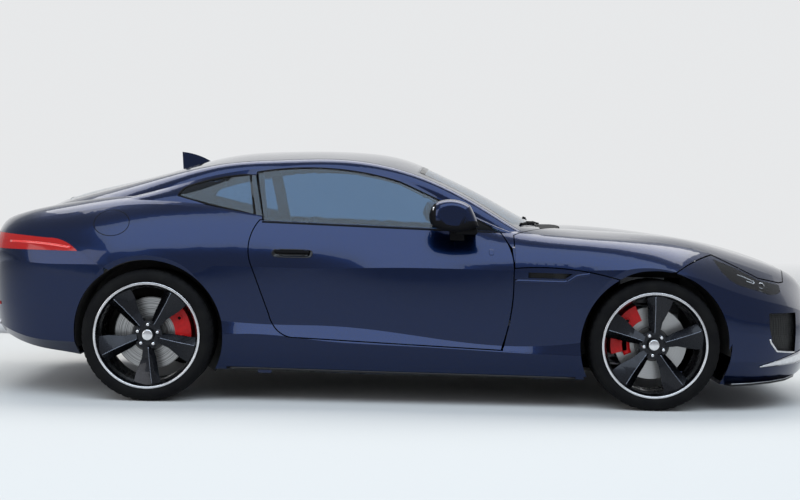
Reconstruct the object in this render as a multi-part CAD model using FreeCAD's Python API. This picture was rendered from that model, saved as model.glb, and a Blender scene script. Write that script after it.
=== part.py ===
"""Two-seat coupe car, full size, as an assembly of separate panels, glass, wheels and running gear.

Frame: +X to the front, +Y to the left, +Z up, in millimetres. The origin is on the ground, under the
middle of the car's length and width.
"""
import FreeCAD, Part
import math
import os

V = FreeCAD.Vector

# Overall sizes and axles
half_length = 2235.0
wheelbase = 2622.0
front_overhang = 950.0
front_axle_x = half_length - front_overhang
rear_axle_x = front_axle_x - wheelbase
tyre_radius = 340.0
wheel_z = tyre_radius
roof_height = 1328.0

# Walls and gaps
panel_gap = 6.0
glass_gap = 9.0
seat_gap = 0.3
body_skin = 16.0
roof_wall = 30.0
glass_inset = 3.0
glass_thickness = 5.0
lamp_depth = 45.0
pad_x = (-735.0, 700.0)
pad_y = 800.0
pad_z = 148.0
pad_size = 70.0
pillar_x = (556.0, 652.0)
tower_y = 448.7
rail_z = (400.0, 470.0)
beam_z = (540.0, 565.0)
floor_rear_z = 600.0
tunnel_z = 400.0
grille_x = 2140.0
grille_depth = 14.0
intake_rim = 12.0
tip_x = -2208.0
tip_y = 545.0
tip_z = 350.0
tip_radius = 55.0
seat_y = 370.0
seat_z = 183.25
steering_wheel_centre = (210.0, 370.0, 790.0)
steering_axis = (-0.92, 0.0, 0.392)
steering_wheel_radius = 180.0
column_radius = 11.0

# Wheels: each track is between the middle planes of the tyres
front_track = 1580.0
rear_track = 1610.0
front_tyre_width = 255.0
rear_tyre_width = 295.0
front_rim_width = 245.0
rear_rim_width = 285.0
rim_radius = 275.0
bead_radius = 258.0
barrel_inner_radius = 244.0
spoke_count = 5
stud_circle_radius = 54.0
nut_radius = 9.0
hub_radius = 74.0
cap_radius = 32.0
disc_radius = 189.0
disc_thickness = 32.0
spindle_radius = 28.0
bearing_gap = 0.05
disc_back = 176.0
upright_depth = 184.0
kingpin_depth = 205.0
pin_radius = 10.0
steering_arm = 120.0
rack_z = 275.0
rack_half = 320.0
arch_radius = 388.0
front_arch_lip = 30.0
rear_arch_lip = 42.0
front_well_radius = 404.0
front_well_inner_y = 470.0
rear_well_inner_y = 625.0

# Hinge lines
door_hinge = (430.0, 880.0)
door_hinge_heights = (430.0, 690.0)
hinge_pin_radius = 5.0
door_inner_y = 782.0
side_inner_y = 742.0
tailgate_hinge = (-1075.0, 1208.0)
tailgate_hinge_y = 150.0
tailgate_edge_reach = 78.0
bonnet_hinge = (2140.0, 632.0)
bonnet_hinge_y = 250.0

# Lower body, from the tail to the nose. Each row is one cross-section: x, floor z, floor half width,
# sill crease (y, z), waist (y, z), side bulge, side crease (y, z), shoulder (y, z), slope of the
# surface at the shoulder in degrees, edge of the upper deck (y, z), centre z
LOWER = [
    (-2235, 430, 330, (350, 450), (365, 500), 2, (360, 600), (330, 700), 30, (180, 740), 752),
    (-2205, 345, 520, (560, 370), (595, 470), 3, (608, 650), (575, 830), 35, (300, 892), 904),
    (-2120, 300, 630, (690, 340), (732, 480), 4, (755, 700), (690, 882), 35, (400, 915), 920),
    (-1950, 250, 730, (800, 300), (840, 480), 6, (866, 700), (735, 930), 36, (430, 950), 955),
    (-1650, 212, 810, (885, 290), (915, 450), 8, (940, 700), (772, 982), 38, (450, 1000), 1005),
    (-1337, 175, 855, (922, 305), (942, 450), 9, (961, 705), (790, 1015), 40, (500, 1025), 1030),
    (-950, 168, 868, (924, 352), (908, 420), 6, (926, 705), (801, 985), 48, (550, 985), 988),
    (-450, 164, 875, (926, 332), (884, 405), 4, (904, 702), (808, 934), 55, (600, 925), 928),
    (200, 159, 878, (922, 305), (893, 345), 6, (909, 716), (806, 918), 55, (600, 912), 915),
    (750, 155, 880, (919, 283), (908, 330), 5, (933, 717), (770, 896), 15, (380, 921), 938),
    (1285, 150, 880, (925, 285), (936, 420), 5, (947, 728), (740, 872), 16, (345, 893), 914),
    (1650, 140, 840, (885, 265), (902, 420), 6, (890, 640), (690, 796), 25, (320, 838), 864),
    (1950, 150, 710, (772, 260), (796, 400), 8, (775, 560), (590, 704), 31, (300, 760), 788),
    (2130, 178, 520, (590, 262), (612, 380), 6, (590, 510), (430, 640), 40, (240, 694), 716),
    (2235, 290, 290, (330, 320), (345, 400), 3, (335, 480), (255, 560), 35, (150, 590), 602),
]
# Cabin: x, belt (y, z), top of the side glass (y, z), roof rail (y, z), centre z
CABIN = [
    (-2190, (560, 850), (540, 866), (480, 884), 925),
    (-1950, (700, 905), (655, 935), (545, 972), 1015),
    (-1650, (752, 965), (690, 1010), (555, 1072), 1116),
    (-1337, (775, 1015), (700, 1085), (572, 1160), 1197),
    (-1000, (790, 985), (662, 1180), (590, 1238), 1292),
    (-700, (797, 935), (642, 1226), (584, 1265), 1323),
    (-300, (797, 925), (642, 1236), (587, 1271), roof_height),
    (0, (797, 918), (668, 1158), (614, 1212), 1286),
    (200, (797, 912), (712, 1058), (657, 1135), 1204),
    (400, (797, 905), (760, 965), (704, 1030), 1112),
    (560, (780, 880), (770, 900), (727, 935), 1027),
    (720, (740, 830), (730, 850), (692, 864), 943),
    (820, (700, 780), (690, 800), (650, 820), 888),
]
cabin_base_drop = 160.0
side_glass_bulge = 10.0
far = 1200.0
high = 1600.0
side_view = (V(1, 0, 0), V(0, 0, 1))
plan_view = (V(1, 0, 0), V(0, 1, 0))


def mirrored(shape):
    """The same shape on the other side of the car."""
    return shape.mirror(V(0, 0, 0), V(0, 1, 0))


def both_sides(shape):
    """A right-hand shape and its left-hand twin as one compound."""
    return Part.makeCompound(shape.Solids + mirrored(shape).Solids)


def fuse_all(shapes):
    """One shape from several that touch or overlap."""
    result = shapes[0]
    if len(shapes) > 1:
        result = result.multiFuse(shapes[1:])
    return result


def biggest(shape):
    """The largest solid of a shape, without crumbs that a cut left."""
    return max(shape.Solids, key=lambda solid: solid.Volume)


def span_box(x, y, z):
    """Box from three (low, high) pairs."""
    return Part.makeBox(x[1] - x[0], y[1] - y[0], z[1] - z[0], V(x[0], y[0], z[0]))


def y_cylinder(x, z, radius, y_from, y_to):
    """Cylinder across the car."""
    return Part.makeCylinder(radius, y_to - y_from, V(x, y_from, z), V(0, 1, 0))


def rod(start, end, radius):
    """Round rod between two points."""
    start = V(*start)
    way = V(*end).sub(start)
    return Part.makeCylinder(radius, way.Length, start, way)


def tangent_arc(start, end, tangent):
    """Arc edge from start to end in a YZ section plane, leaving start along the tangent."""
    chord = end.sub(start)
    length = chord.Length
    unit = V(chord).normalize()
    normal = V(0, -unit.z, unit.y)
    along = max(-1.0, min(1.0, tangent.dot(unit)))
    side = 1.0 if tangent.dot(normal) > 0 else -1.0
    sagitta = side * length / 2 * math.tan(math.acos(along) / 2)
    middle = start.add(end).multiply(0.5).add(normal.multiply(sagitta))
    return Part.Arc(start, middle, end).toShape()


def flip(point):
    """The point on the other side of the car."""
    return V(point.x, -point.y, point.z)


def closed_section(half_edges, bottom, top):
    """Wire through the right half's edges, their mirror images, and a bottom and a top edge."""
    left = [mirrored(e) for e in half_edges]
    return Part.Wire(Part.__sortEdges__([bottom] + half_edges + [top] + left))


def lower_section(row, inset):
    """One section of the lower body, moved inwards by the inset."""
    x, floor_z, floor_y, sill, waist, bulge, crease, shoulder, slope, edge, centre_z = row
    x *= (half_length - inset) / half_length
    slope = math.radians(slope)
    across = V(0, -math.cos(slope), math.sin(slope))
    floor = V(x, floor_y - inset, floor_z + inset)
    sill = V(x, sill[0] - inset, max(sill[1], floor.z + 4))
    waist = V(x, waist[0] - inset, max(waist[1], sill.z + 20))
    crease = V(x, crease[0] - inset, crease[1])
    shoulder = V(x, shoulder[0] - inset * math.sin(slope), shoulder[1] - inset * math.cos(slope))
    edge = V(x, edge[0], edge[1] - inset)
    centre = V(x, 0, centre_z - inset)
    side_middle = waist.add(crease).multiply(0.5).add(V(0, bulge, 0))
    half = [
        Part.makeLine(floor, sill),
        Part.makeLine(sill, waist),
        Part.Arc(waist, side_middle, crease).toShape(),
        tangent_arc(shoulder, crease, V(across).multiply(-1)),
        tangent_arc(shoulder, edge, across),
    ]
    top = Part.Arc(edge, centre, flip(edge)).toShape()
    return closed_section(half, Part.makeLine(flip(floor), floor), top)


def cabin_section(row, inset):
    """One section of the cabin, moved inwards by the inset."""
    x, belt, glass_top, rail, centre_z = row
    belt = V(x, belt[0] - inset, belt[1])
    base = V(x, belt.y, belt.z - cabin_base_drop)
    glass_top = V(x, glass_top[0] - inset, glass_top[1] - inset * 0.3)
    rail = V(x, rail[0] - inset * 0.5, rail[1] - inset)
    centre = V(x, 0, centre_z - inset)
    roof = Part.Arc(rail, centre, flip(rail))
    lean = glass_top.sub(belt)
    outward = V(0, lean.z, -lean.y).normalize()
    side_middle = belt.add(glass_top).multiply(0.5).add(outward.multiply(side_glass_bulge))
    away = V(roof.tangent(roof.FirstParameter)[0]).multiply(-1)
    half = [
        Part.makeLine(base, belt),
        Part.Arc(belt, side_middle, glass_top).toShape(),
        tangent_arc(rail, glass_top, away),
    ]
    return closed_section(half, Part.makeLine(flip(base), base), roof.toShape())


def lower_body(inset=0.0):
    """Solid of the lower body, moved inwards by the inset."""
    return Part.makeLoft([lower_section(r, inset) for r in LOWER], True, False)


def cabin(inset=0.0):
    """Solid of the cabin, moved inwards by the inset."""
    return Part.makeLoft([cabin_section(r, inset) for r in CABIN], True, False)


def outline(start, *steps, axes=side_view, grow=0.0):
    """Flat face inside lines (2 numbers: end) and arcs (4 numbers: middle, end), grown outwards."""

    def place(a, b):
        return V(axes[0]).multiply(a).add(V(axes[1]).multiply(b))

    here = place(*start)
    first = here
    edges = []
    for step in steps:
        end = place(*step[-2:])
        if len(step) == 4:
            edges.append(Part.Arc(here, place(*step[:2]), end).toShape())
        else:
            edges.append(Part.makeLine(here, end))
        here = end
    if here.sub(first).Length > 1e-6:
        edges.append(Part.makeLine(here, first))
    face = Part.Face(Part.Wire(edges))
    if grow:
        face = face.makeOffset2D(grow)
    return face


def side_prism(face, inner_y=0.0, outer_y=far):
    """Prism from a side outline on the right side, between two distances from the middle."""
    return face.translated(V(0, -outer_y, 0)).extrude(V(0, outer_y - inner_y, 0))


def through_prism(face):
    """Prism from a side outline, right across the car."""
    return face.translated(V(0, -far, 0)).extrude(V(0, 2 * far, 0))


def plan_prism(face, low_z, high_z):
    """Prism from a plan outline between two heights."""
    return face.translated(V(0, 0, low_z)).extrude(V(0, 0, high_z - low_z))


# Shut lines and outlines in side view (x, z)
def door_face(grow=0.0):
    """The door up to the belt."""
    return outline(
        (-775, 942), (-820, 845, -802, 700), (-711, 457), (-664, 378, -564, 347), (488, 303),
        (537, 520, 543, 690), (531, 805, 470, 912), grow=grow,
    )


def door_inner_face():
    """The door's thick inner part, clear of the door's edges."""
    front = door_hinge[0] - 8
    return outline((-728, 930), (-768, 800), (-690, 520), (-600, 395), (front, 350), (front, 896))


def door_glass_face(grow=0.0):
    """The door glass above the belt."""
    return outline(
        (-755, 941.7), (-804, 1190), (-420, 1216, -51, 1154), (185, 1048, 455, 912.7), grow=grow,
    )


def quarter_glass_face(grow=0.0):
    """The small fixed glass behind the door."""
    return outline(
        (-768, 966), (-817, 1182), (-1000, 1160, -1150, 1118), (-1195, 1094, -1215, 1062),
        (-1010, 1012, -768, 966), grow=grow,
    )


def bonnet_face(grow=0.0):
    """The clamshell bonnet, which carries the tops of the front wings."""
    return outline(
        (546, 1300), (546, 722), (850, 722, 1096, 673), (1383, 720), (1472, 766, 1603, 806),
        (1718, 753), (1852, 688), (1990, 660), (2026, 663), (2051.5, 710, 2095, 741), (2095, 1300), grow=grow,
    )


def front_bumper_face():
    """The front bumper, below the bonnet and ahead of the wheel."""
    return outline(
        (1383, 720), (1472, 766, 1603, 806), (1718, 753), (1852, 688), (1990, 660), (2026, 663),
        (2051.5, 710, 2095, 741), (2300, 741), (2300, 0), (1383, 0),
    )


def headlamp_face(grow=0.0):
    """The slim headlamp under the bonnet's edge."""
    return outline(
        (1606, 788), (1718, 745), (1852, 680), (1985, 652), (1984, 620), (1920, 607, 1860, 621),
        (1755, 650), (1658, 703, 1606, 788), grow=grow,
    )


def rear_bumper_face():
    """The rear bumper, below the lamps and behind the wheel."""
    return outline((-1561, 686), (-1690, 765), (-2300, 765), (-2300, 0), (-1561, 0))


def tail_lamp_face(grow=0.0):
    """The tail lamp's band, with its pointed front end."""
    return outline(
        (-1705, 766), (-1775, 812, -1872, 829), (-2081, 844), (-2300, 856), (-2300, 766),
        grow=grow,
    )


def sill_face(grow=0.0):
    """The sill between the wheels, up to the door's shut line."""
    return outline((-1000, 0), (-1000, 362), (-564, 341), (488, 297), (950, 279), (950, 0), grow=grow)


def roof_face():
    """The roof and the rails over the side glass."""
    return outline(
        (-1131, high), (-1131, 1100), (-870, 1150), (-830, 1170), (-804, 1190), (-420, 1216, -51, 1154),
        (120, 1300), (60, high),
    )


def pillar_face(grow=0.0):
    """The windscreen pillar, between the side glass and the windscreen."""
    return outline(
        (-51, 1154), (185, 1048, 455, 922), (470, 912), (537, 830), (700, 830), (700, 960),
        (120, 1300), grow=grow,
    )


# Outlines in plan (x, y)
def tailgate_face(grow=0.0):
    """The tailgate from the roof's rear edge to the tail."""
    return outline(
        (-1137, -500), (-1300, -556, -1600, -560), (-2300, -560), (-2300, 560), (-1600, 560),
        (-1300, 556, -1137, 500), (-1131, 0, -1137, -500), axes=plan_view, grow=grow,
    )


def rear_glass_face(grow=0.0):
    """The tailgate's glass."""
    return outline(
        (-1200, -455), (-1840, -490), (-1895, 0, -1840, 490), (-1200, 455), (-1190, 0, -1200, -455),
        axes=plan_view, grow=grow,
    )


def windscreen_face(grow=0.0):
    """The windscreen."""
    return outline(
        (45, -560), (260, -618, 545, -705), (672, -380, 700, 0), (672, 380, 545, 705),
        (260, 618, 45, 560), (75, 0, 45, -560), axes=plan_view, grow=grow,
    )


def cowl_face(grow=0.0):
    """What lies behind the bonnet's rear edge."""
    return outline(
        (-200, -1100), (546, -1100), (546, -800), (790, -480, 812, 0), (790, 480, 546, 800),
        (546, 1100), (-200, 1100), axes=plan_view, grow=grow,
    )


tail_lamp_inner_y = 400.0
headlamp_inner_y = 430.0


def wheel_wells():
    """What is cut away round the right wheels, with the arches' lips as cones."""
    wells = []
    table = [
        (front_axle_x, front_well_inner_y, front_well_radius, front_arch_lip, 947.0),
        (rear_axle_x, rear_well_inner_y, arch_radius, rear_arch_lip, 961.0),
    ]
    for x, inner_y, room, lip, flank in table:
        mouth = y_cylinder(x, wheel_z, arch_radius, -far, -inner_y)
        inner = y_cylinder(x, wheel_z, room, 60 - flank, -inner_y)
        cone = Part.makeCone(
            arch_radius, arch_radius + 4 * lip, 2 * lip, V(x, lip / 2 - flank, wheel_z), V(0, -1, 0)
        )
        wells.append(fuse_all([mouth, inner, cone]))
    return wells


# Room round the door's hinge line for the door's front edge, which swings in behind the wing:
# radius, height
POCKET = [
    (72, 290), (92, 380), (107, 440), (121, 530), (126, 590), (127, 715), (124, 740), (119, 770),
    (109, 805), (100, 860), (104, 905),
]
# The wing's skin needs less of it where the door's skin lies inboard of the hinge line
SKIN_POCKET = POCKET[:-2] + [(86, 850), (84, 905)]


def hinge_pocket(rows):
    """Turned room round the right door's hinge line."""
    points = [(0, rows[0][1])] + rows + [(0, rows[-1][1])]
    wire = Part.makePolygon([V(r, 0, z) for r, z in points + points[:1]])
    room = Part.Face(wire).revolve(V(0, 0, 0), V(0, 0, 1), 360)
    return room.translated(V(door_hinge[0], -door_hinge[1], 0))


class Shells:
    """The body's outer solid, its hollow inside, and the skin between them in three lengths."""

    def __init__(self):
        wells = wheel_wells()
        recess = through_prism(outline((-2300, 770), (-2180, 770), (-2196, 866), (-2300, 880)))
        self.inner = lower_body(body_skin).fuse(cabin(roof_wall))
        self.outer = lower_body().fuse(cabin()).cut(wells + [mirrored(w) for w in wells] + [recess])
        self.skin = self.outer.cut(self.inner)
        self.right = span_box((-2300, 2300), (-far, 0), (0, high))
        self.front = self.skin.common(span_box((440, 2300), (-far, far), (0, high)))
        self.rear = self.skin.common(span_box((-2300, -400), (-far, far), (0, high)))
        self.right_front = self.front.common(self.right)
        self.right_rear = self.rear.common(self.right)
        self.glass = cabin(glass_inset).cut(cabin(glass_inset + glass_thickness))


class Holes:
    """Openings that several panels share."""

    def __init__(self):
        self.door = side_prism(door_face(panel_gap), 500)
        self.door_glass = side_prism(door_glass_face(glass_gap), 400)
        self.quarter_glass = side_prism(quarter_glass_face(seat_gap), 400)
        self.tailgate = plan_prism(tailgate_face(panel_gap), 760, high)
        self.windscreen = plan_prism(windscreen_face(seat_gap), 800, high)
        self.pocket = hinge_pocket(POCKET)
        self.skin_pocket = hinge_pocket(SKIN_POCKET)
        self.headlamp = side_prism(headlamp_face(seat_gap), headlamp_inner_y)
        self.tail_lamp = side_prism(tail_lamp_face(seat_gap), tail_lamp_inner_y)


def pair(shape):
    """A right-hand cutting tool and its left-hand twin."""
    return [shape, mirrored(shape)]


def rear_quarters(s, h):
    """Rear wings with the arches, the roof's rear corners and the sills' rear ends."""
    region = side_prism(
        outline(
            (-2300, high), (-2300, 765.3), (-1690, 765.3), (-1561, 686.3), (-1000, 362.3),
            (-564, 341.3), (-400, 334), (-400, 955), (-800, 1100), (-1131.3, 1099), (-1131.3, high),
        )
    )
    quarter = s.right_rear.common(region)
    return both_sides(biggest(quarter.cut([h.door, h.quarter_glass, h.tailgate, h.tail_lamp, h.door_glass])))


def sills(s, h):
    """Solid sills between the wheels, with a jacking pad at each end."""
    region = side_prism(sill_face(), side_inner_y)
    sill = biggest(s.outer.common(region).cut(h.door))
    half = pad_size / 2
    pads = [span_box((x - half, x + half), (-pad_y - half, half - pad_y), (pad_z, 180)) for x in pad_x]
    return both_sides(fuse_all([sill] + pads))


def roof(s, h):
    """Roof with the rails over the side glass."""
    region = s.skin.common(through_prism(roof_face()))
    tools = [h.tailgate, h.windscreen] + pair(h.door_glass) + pair(h.quarter_glass)
    return biggest(region.cut(tools))


def windscreen_pillars(s, h):
    """Windscreen pillars from the roof down to the wings."""
    region = s.skin.common(side_prism(pillar_face())).common(plan_prism(cowl_face(), 600, high))
    return both_sides(biggest(region.cut([h.windscreen, h.door_glass, h.door, h.skin_pocket])))


def cowl(s, h):
    """Panel between the windscreen's foot and the bonnet."""
    region = s.front.common(plan_prism(cowl_face(), 830, 1050))
    back = span_box((0, 480), (-far, far), (0, high))
    tools = [h.windscreen, back] + pair(h.skin_pocket) + pair(side_prism(pillar_face(seat_gap)))
    return biggest(region.cut(tools))


def bonnet(s, h):
    """Clamshell bonnet with two vents and the hinge's goosenecks."""
    panel = s.front.common(through_prism(bonnet_face(-panel_gap)))
    vent = outline(
        (1165, -330), (1375, -300), (1495, -330), (1445, -395), (1195, -385), axes=plan_view
    )
    tools = [plan_prism(cowl_face(panel_gap), 600, high)]
    tools += pair(h.headlamp) + pair(h.skin_pocket) + pair(plan_prism(vent, 700, high))
    panel = biggest(panel.cut(tools))
    necks = [gooseneck(bonnet_hinge, BONNET_NECK, y) for y in (-bonnet_hinge_y, bonnet_hinge_y)]
    return trimmed_union(panel, necks, s.outer, bonnet_hinge)


def tailgate(s, h):
    """Tailgate frame with the tail's upper edge and the hinge's goosenecks."""
    panel = s.rear.common(plan_prism(tailgate_face(), 760, high))
    below = span_box((-2300, -1000), (-far, far), (0, 765 + panel_gap))
    lamp = side_prism(tail_lamp_face(panel_gap), tail_lamp_inner_y - panel_gap)
    edge = y_cylinder(*tailgate_hinge, tailgate_edge_reach, -600, 600)
    tools = [plan_prism(rear_glass_face(seat_gap), 850, high), below, edge] + pair(lamp)
    panel = biggest(panel.cut(tools))
    necks = [gooseneck(tailgate_hinge, TAILGATE_NECK, y) for y in (-tailgate_hinge_y, tailgate_hinge_y)]
    return trimmed_union(panel, necks, s.outer, tailgate_hinge)


# Goosenecks from the hinge line to the panel, (x, z) from the line
BONNET_NECK = [(0, 0), (-48, -48), (-140, -30), (-160, 106)]
TAILGATE_NECK = [(0, 0), (-40, -70), (-95, -62), (-92, 22)]
neck_radius = 8.0
eye_radius = 11.0
eye_width = 20.0


def gooseneck(line, points, y):
    """Bent arm from a hinge line to a panel, with its eye."""
    x, z = line
    pieces = [y_cylinder(x, z, eye_radius, y - eye_width / 2, y + eye_width / 2)]
    for (x0, z0), (x1, z1) in zip(points, points[1:]):
        pieces.append(rod((x + x0, y, z + z0), (x + x1, y, z + z1), neck_radius))
        pieces.append(Part.makeSphere(neck_radius, V(x + x1, y, z + z1)))
    return fuse_all(pieces)


def trimmed_union(panel, necks, outer, line):
    """A panel and its goosenecks in one, with no neck outside the body and the pin holes bored."""
    joined = fuse_all([panel] + [n.common(outer) for n in necks])
    return biggest(joined).cut(y_cylinder(*line, hinge_pin_radius + bearing_gap, -400, 400))


def hinge_stand(line, y, low_z, high_z, back, inner):
    """Two cheeks and the pin that carry a gooseneck's eye, cut to the body's inside."""
    x, z = line
    half = eye_width / 2 + 3
    cheeks = []
    for middle in (y - half - 3, y + half + 3):
        cheeks.append(span_box((x - back, x + eye_radius), (middle - 3, middle + 3), (low_z, high_z)))
    pin = y_cylinder(x, z, hinge_pin_radius, y - half - 5, y + half + 5)
    return fuse_all([c.common(inner) for c in cheeks] + [pin])


def front_bumper(s, h):
    """Front bumper with the grille's mouth and the side intakes."""
    panel = s.front.common(through_prism(front_bumper_face()))
    return biggest(panel.cut(pair(h.headlamp) + front_openings()))


def rear_bumper(s, h):
    """Rear bumper with its underside and the tailpipes' openings."""
    panel = s.rear.common(through_prism(rear_bumper_face()))
    return biggest(panel.cut(pair(h.tail_lamp) + pair(exhaust_hole())))


def lower_wings(s, h):
    """Front wings' lower panels with the side vents."""
    region = outline((500, 297.3), (1096, 273.5), (1096, 673), (850, 722, 546, 722), (500, 718))
    region = side_prism(region, 500)
    vent = side_prism(outline((620, 706), (620, 678), (808, 677), (848, 704)), 500)
    return both_sides(biggest(s.right_front.common(region).cut([h.door, h.skin_pocket, vent])))


def headlamps(s, h):
    """Slim headlamps."""
    block = s.outer.common(side_prism(headlamp_face(), headlamp_inner_y))
    return both_sides(biggest(block.cut(lower_body(lamp_depth))))


def tail_lamps(s, h):
    """Tail lamps under the tail's edge."""
    block = s.outer.common(side_prism(tail_lamp_face(), tail_lamp_inner_y))
    return both_sides(biggest(block.cut([lower_body(lamp_depth + 50), h.tailgate])))


def door_parts(s, h):
    """Right door, its glass and its mirror."""
    skin = s.skin.common(side_prism(door_face(), 500))
    core = lower_body(body_skin).common(side_prism(door_inner_face(), door_inner_y))
    handle = outline((-685, 760), (-513, 760), (-495, 777, -513, 794), (-685, 794), (-703, 777, -685, 760))
    x, y = door_hinge
    lugs = []
    for z in door_hinge_heights:
        for low in (z - 40, z + 22):
            lugs.append(Part.makeCylinder(eye_radius, 18, V(x, -y, low)))
    lugs = [lug.common(s.outer) for lug in lugs]
    bore = Part.makeCylinder(hinge_pin_radius + bearing_gap, 700, V(x, -y, 200))
    door = biggest(fuse_all([skin.cut(side_prism(handle, 500)), core] + lugs)).cut(bore)
    glass = biggest(s.glass.common(side_prism(door_glass_face(), 400)))
    return {"door": door, "door_glass": glass, "door_mirror": door_mirror().cut(s.outer)}


def door_hinges():
    """Straps and pins of the right door's hinges, from the front pillar."""
    x, y = door_hinge
    pieces = []
    for z in door_hinge_heights:
        pin = Part.makeCylinder(hinge_pin_radius, 80, V(x, -y, z - 40))
        strap = span_box((x - 3, x + 3), (-y - 4, -762), (z - 18, z + 18))
        leg = span_box((x - 3, pillar_x[0] - seat_gap), (-768, -762), (z - 18, z + 18))
        pieces += fuse_all([pin, strap, leg]).Solids
    return pieces


def hinges(s, h):
    """The fixed halves of the doors', the tailgate's and the bonnet's hinges."""
    pieces = door_hinges()
    z = tailgate_hinge[1]
    pieces += hinge_stand(tailgate_hinge, -tailgate_hinge_y, z - 11, high, 11, s.inner).Solids
    z = bonnet_hinge[1]
    pieces += hinge_stand(bonnet_hinge, -bonnet_hinge_y, beam_z[1] + seat_gap, z + 11, 50, s.inner).Solids
    return both_sides(Part.makeCompound(pieces))


nose_view = (V(0, 1, 0), V(0, 0, 1))


def mouth_face(grow=0.0):
    """The grille's mouth."""
    return outline(
        (-330, 560), (-385, 460), (-320, 330), (320, 330), (385, 460), (330, 560), axes=nose_view, grow=grow
    )


def side_intake(grow=0.0):
    """The right side intake as a cutting tool: round the bumper's corner, open ahead and sideways."""
    ahead = outline(
        (-455, 500), (-610, 514), (-640, 420), (-560, 305), (-440, 310), axes=nose_view, grow=grow
    )
    beside = outline(
        (1890, 514), (1894, 438), (1914, 365), (1952, 318), (2069, 305), (2064, 512), grow=grow
    )
    return ahead.translated(V(1960, 0, 0)).extrude(V(240, 0, 0)).fuse(side_prism(beside, 560))


def front_openings():
    """The grille's mouth and the side intakes, as cutting tools."""
    return [mouth_face().translated(V(1960, 0, 0)).extrude(V(400, 0, 0))] + pair(side_intake())


def exhaust_hole():
    """Opening in the rear bumper round the right tailpipe."""
    return Part.makeCylinder(tip_radius + 7, 260, V(-2300, -tip_y, tip_z), V(1, 0, 0))


# The mirror's head: points of four arcs round its side view, from its middle, and its sections as
# (y, scale) from the outer end
mirror_middle = V(232, 0, 988)
MIRROR_HEAD = [(-105, -52), (-121, 8), (-84, 68), (2, 79), (74, 52), (100, 2), (118, -46), (20, -76)]
MIRROR = [(-1021, 0.62), (-1012, 0.84), (-990, 1.0), (-910, 1.0), (-868, 0.88), (-848, 0.70)]


def door_mirror():
    """Right door mirror with its foot on the door."""
    wires = []
    for y, size in MIRROR:
        steps = [mirror_middle.add(V(a, 0, b).multiply(size)) for a, b in MIRROR_HEAD]
        steps = [V(p.x, y, p.z) for p in steps]
        edges = [Part.Arc(steps[k], steps[k + 1], steps[(k + 2) % 8]).toShape() for k in (0, 2, 4, 6)]
        wires.append(Part.Wire(edges))
    head = Part.makeLoft(wires, True, False)
    foot = outline((215, 860), (290, 860), (285, 940), (215, 940))
    return head.fuse(foot.translated(V(0, -850, 0)).extrude(V(0, 75, 0)))


def tyre(width, rim_width):
    """Tyre about the origin, its axis along Y, with round shoulders and bulged walls."""
    h = width / 2
    face = rim_width / 2
    bead = V(bead_radius, 14 + seat_gap - face, 0)
    flange = V(rim_radius + seat_gap, 7 + seat_gap - face, 0)
    wall = V(300, -h, 0)
    shoulder = V(326, -h * 0.93, 0)
    tread = V(tyre_radius, -h * 0.76, 0)
    half = [
        Part.makeLine(bead, flange),
        Part.Arc(flange, V(284, 3 - h, 0), wall).toShape(),
        Part.Arc(wall, V(315, -h * 0.985, 0), shoulder).toShape(),
        Part.Arc(shoulder, V(335, -h * 0.86, 0), tread).toShape(),
    ]
    ends = [Part.makeLine(tread, flip(tread)), Part.makeLine(flip(bead), bead)]
    wire = Part.Wire(Part.__sortEdges__(half + [mirrored(e) for e in half] + ends))
    return Part.Face(wire).revolve(V(0, 0, 0), V(0, 1, 0), 360)


def turned(points):
    """Solid of revolution about the Y axis from (radius, y) points."""
    wire = Part.makePolygon([V(r, y, 0) for r, y in points + points[:1]])
    return Part.Face(wire).revolve(V(0, 0, 0), V(0, 1, 0), 360)


# Spoke sections from hub to rim: radius, then the ridge, trailing, back and leading corners, each
# as (offset round the wheel, depth below the rim's outer face)
SPOKE = [
    (56, (0, 36), (28, 52), (4, 78), (-20, 60)),
    (120, (-2, 30), (40, 54), (14, 78), (-34, 62)),
    (190, (-6, 20), (72, 46), (30, 74), (-42, 56)),
    (256, (-12, 8), (90, 30), (60, 64), (-52, 40)),
]


def spoke(face):
    """One twisted blade along +X; the rim's outer face is at -face."""
    wires = []
    for reach, *corners in SPOKE:
        points = [V(reach, depth - face, -around) for around, depth in corners]
        wires.append(Part.makePolygon(points + points[:1]))
    blade = Part.makeLoft(wires, True, True)
    return blade.common(y_cylinder(0, 0, bead_radius - 3, -face, face))


def rim(width, first_spoke_deg):
    """Rim with twisted spokes about the origin; the outer face is on -Y."""
    face = width / 2
    bead = bead_radius - seat_gap
    inner = barrel_inner_radius
    barrel = turned([
        (rim_radius, face), (rim_radius, face - 7), (bead, face - 14), (bead, 14 - face),
        (rim_radius, 7 - face), (rim_radius, -face), (263, -face), (252, 22 - face),
        (inner, 60 - face), (inner, face - 20), (262, face),
    ])
    hub = y_cylinder(0, 0, hub_radius, 50 - face, 80 - face)
    pieces = [barrel, hub, y_cylinder(0, 0, cap_radius, 32 - face, 60 - face)]
    blade = spoke(face)
    for k in range(spoke_count):
        angle = first_spoke_deg + 360.0 / spoke_count * k
        pieces.append(blade.rotated(V(0, 0, 0), V(0, 1, 0), -angle))
        turn = math.radians(angle + 30)
        x, z = stud_circle_radius * math.cos(turn), stud_circle_radius * math.sin(turn)
        pieces.append(y_cylinder(x, z, nut_radius, 40 - face, 60 - face))
    return fuse_all(pieces)


def brake_disc(face):
    """Disc with its hat, seated on the back of the rim's hub, bored for the spindle."""
    top = 80 + seat_gap - face
    ring = disc_back - disc_thickness - face
    return turned([
        (spindle_radius + bearing_gap, top), (88, top), (88, ring), (disc_radius, ring),
        (disc_radius, disc_back - face), (76, disc_back - face), (76, top + 14),
        (spindle_radius + bearing_gap, top + 14),
    ])


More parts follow.
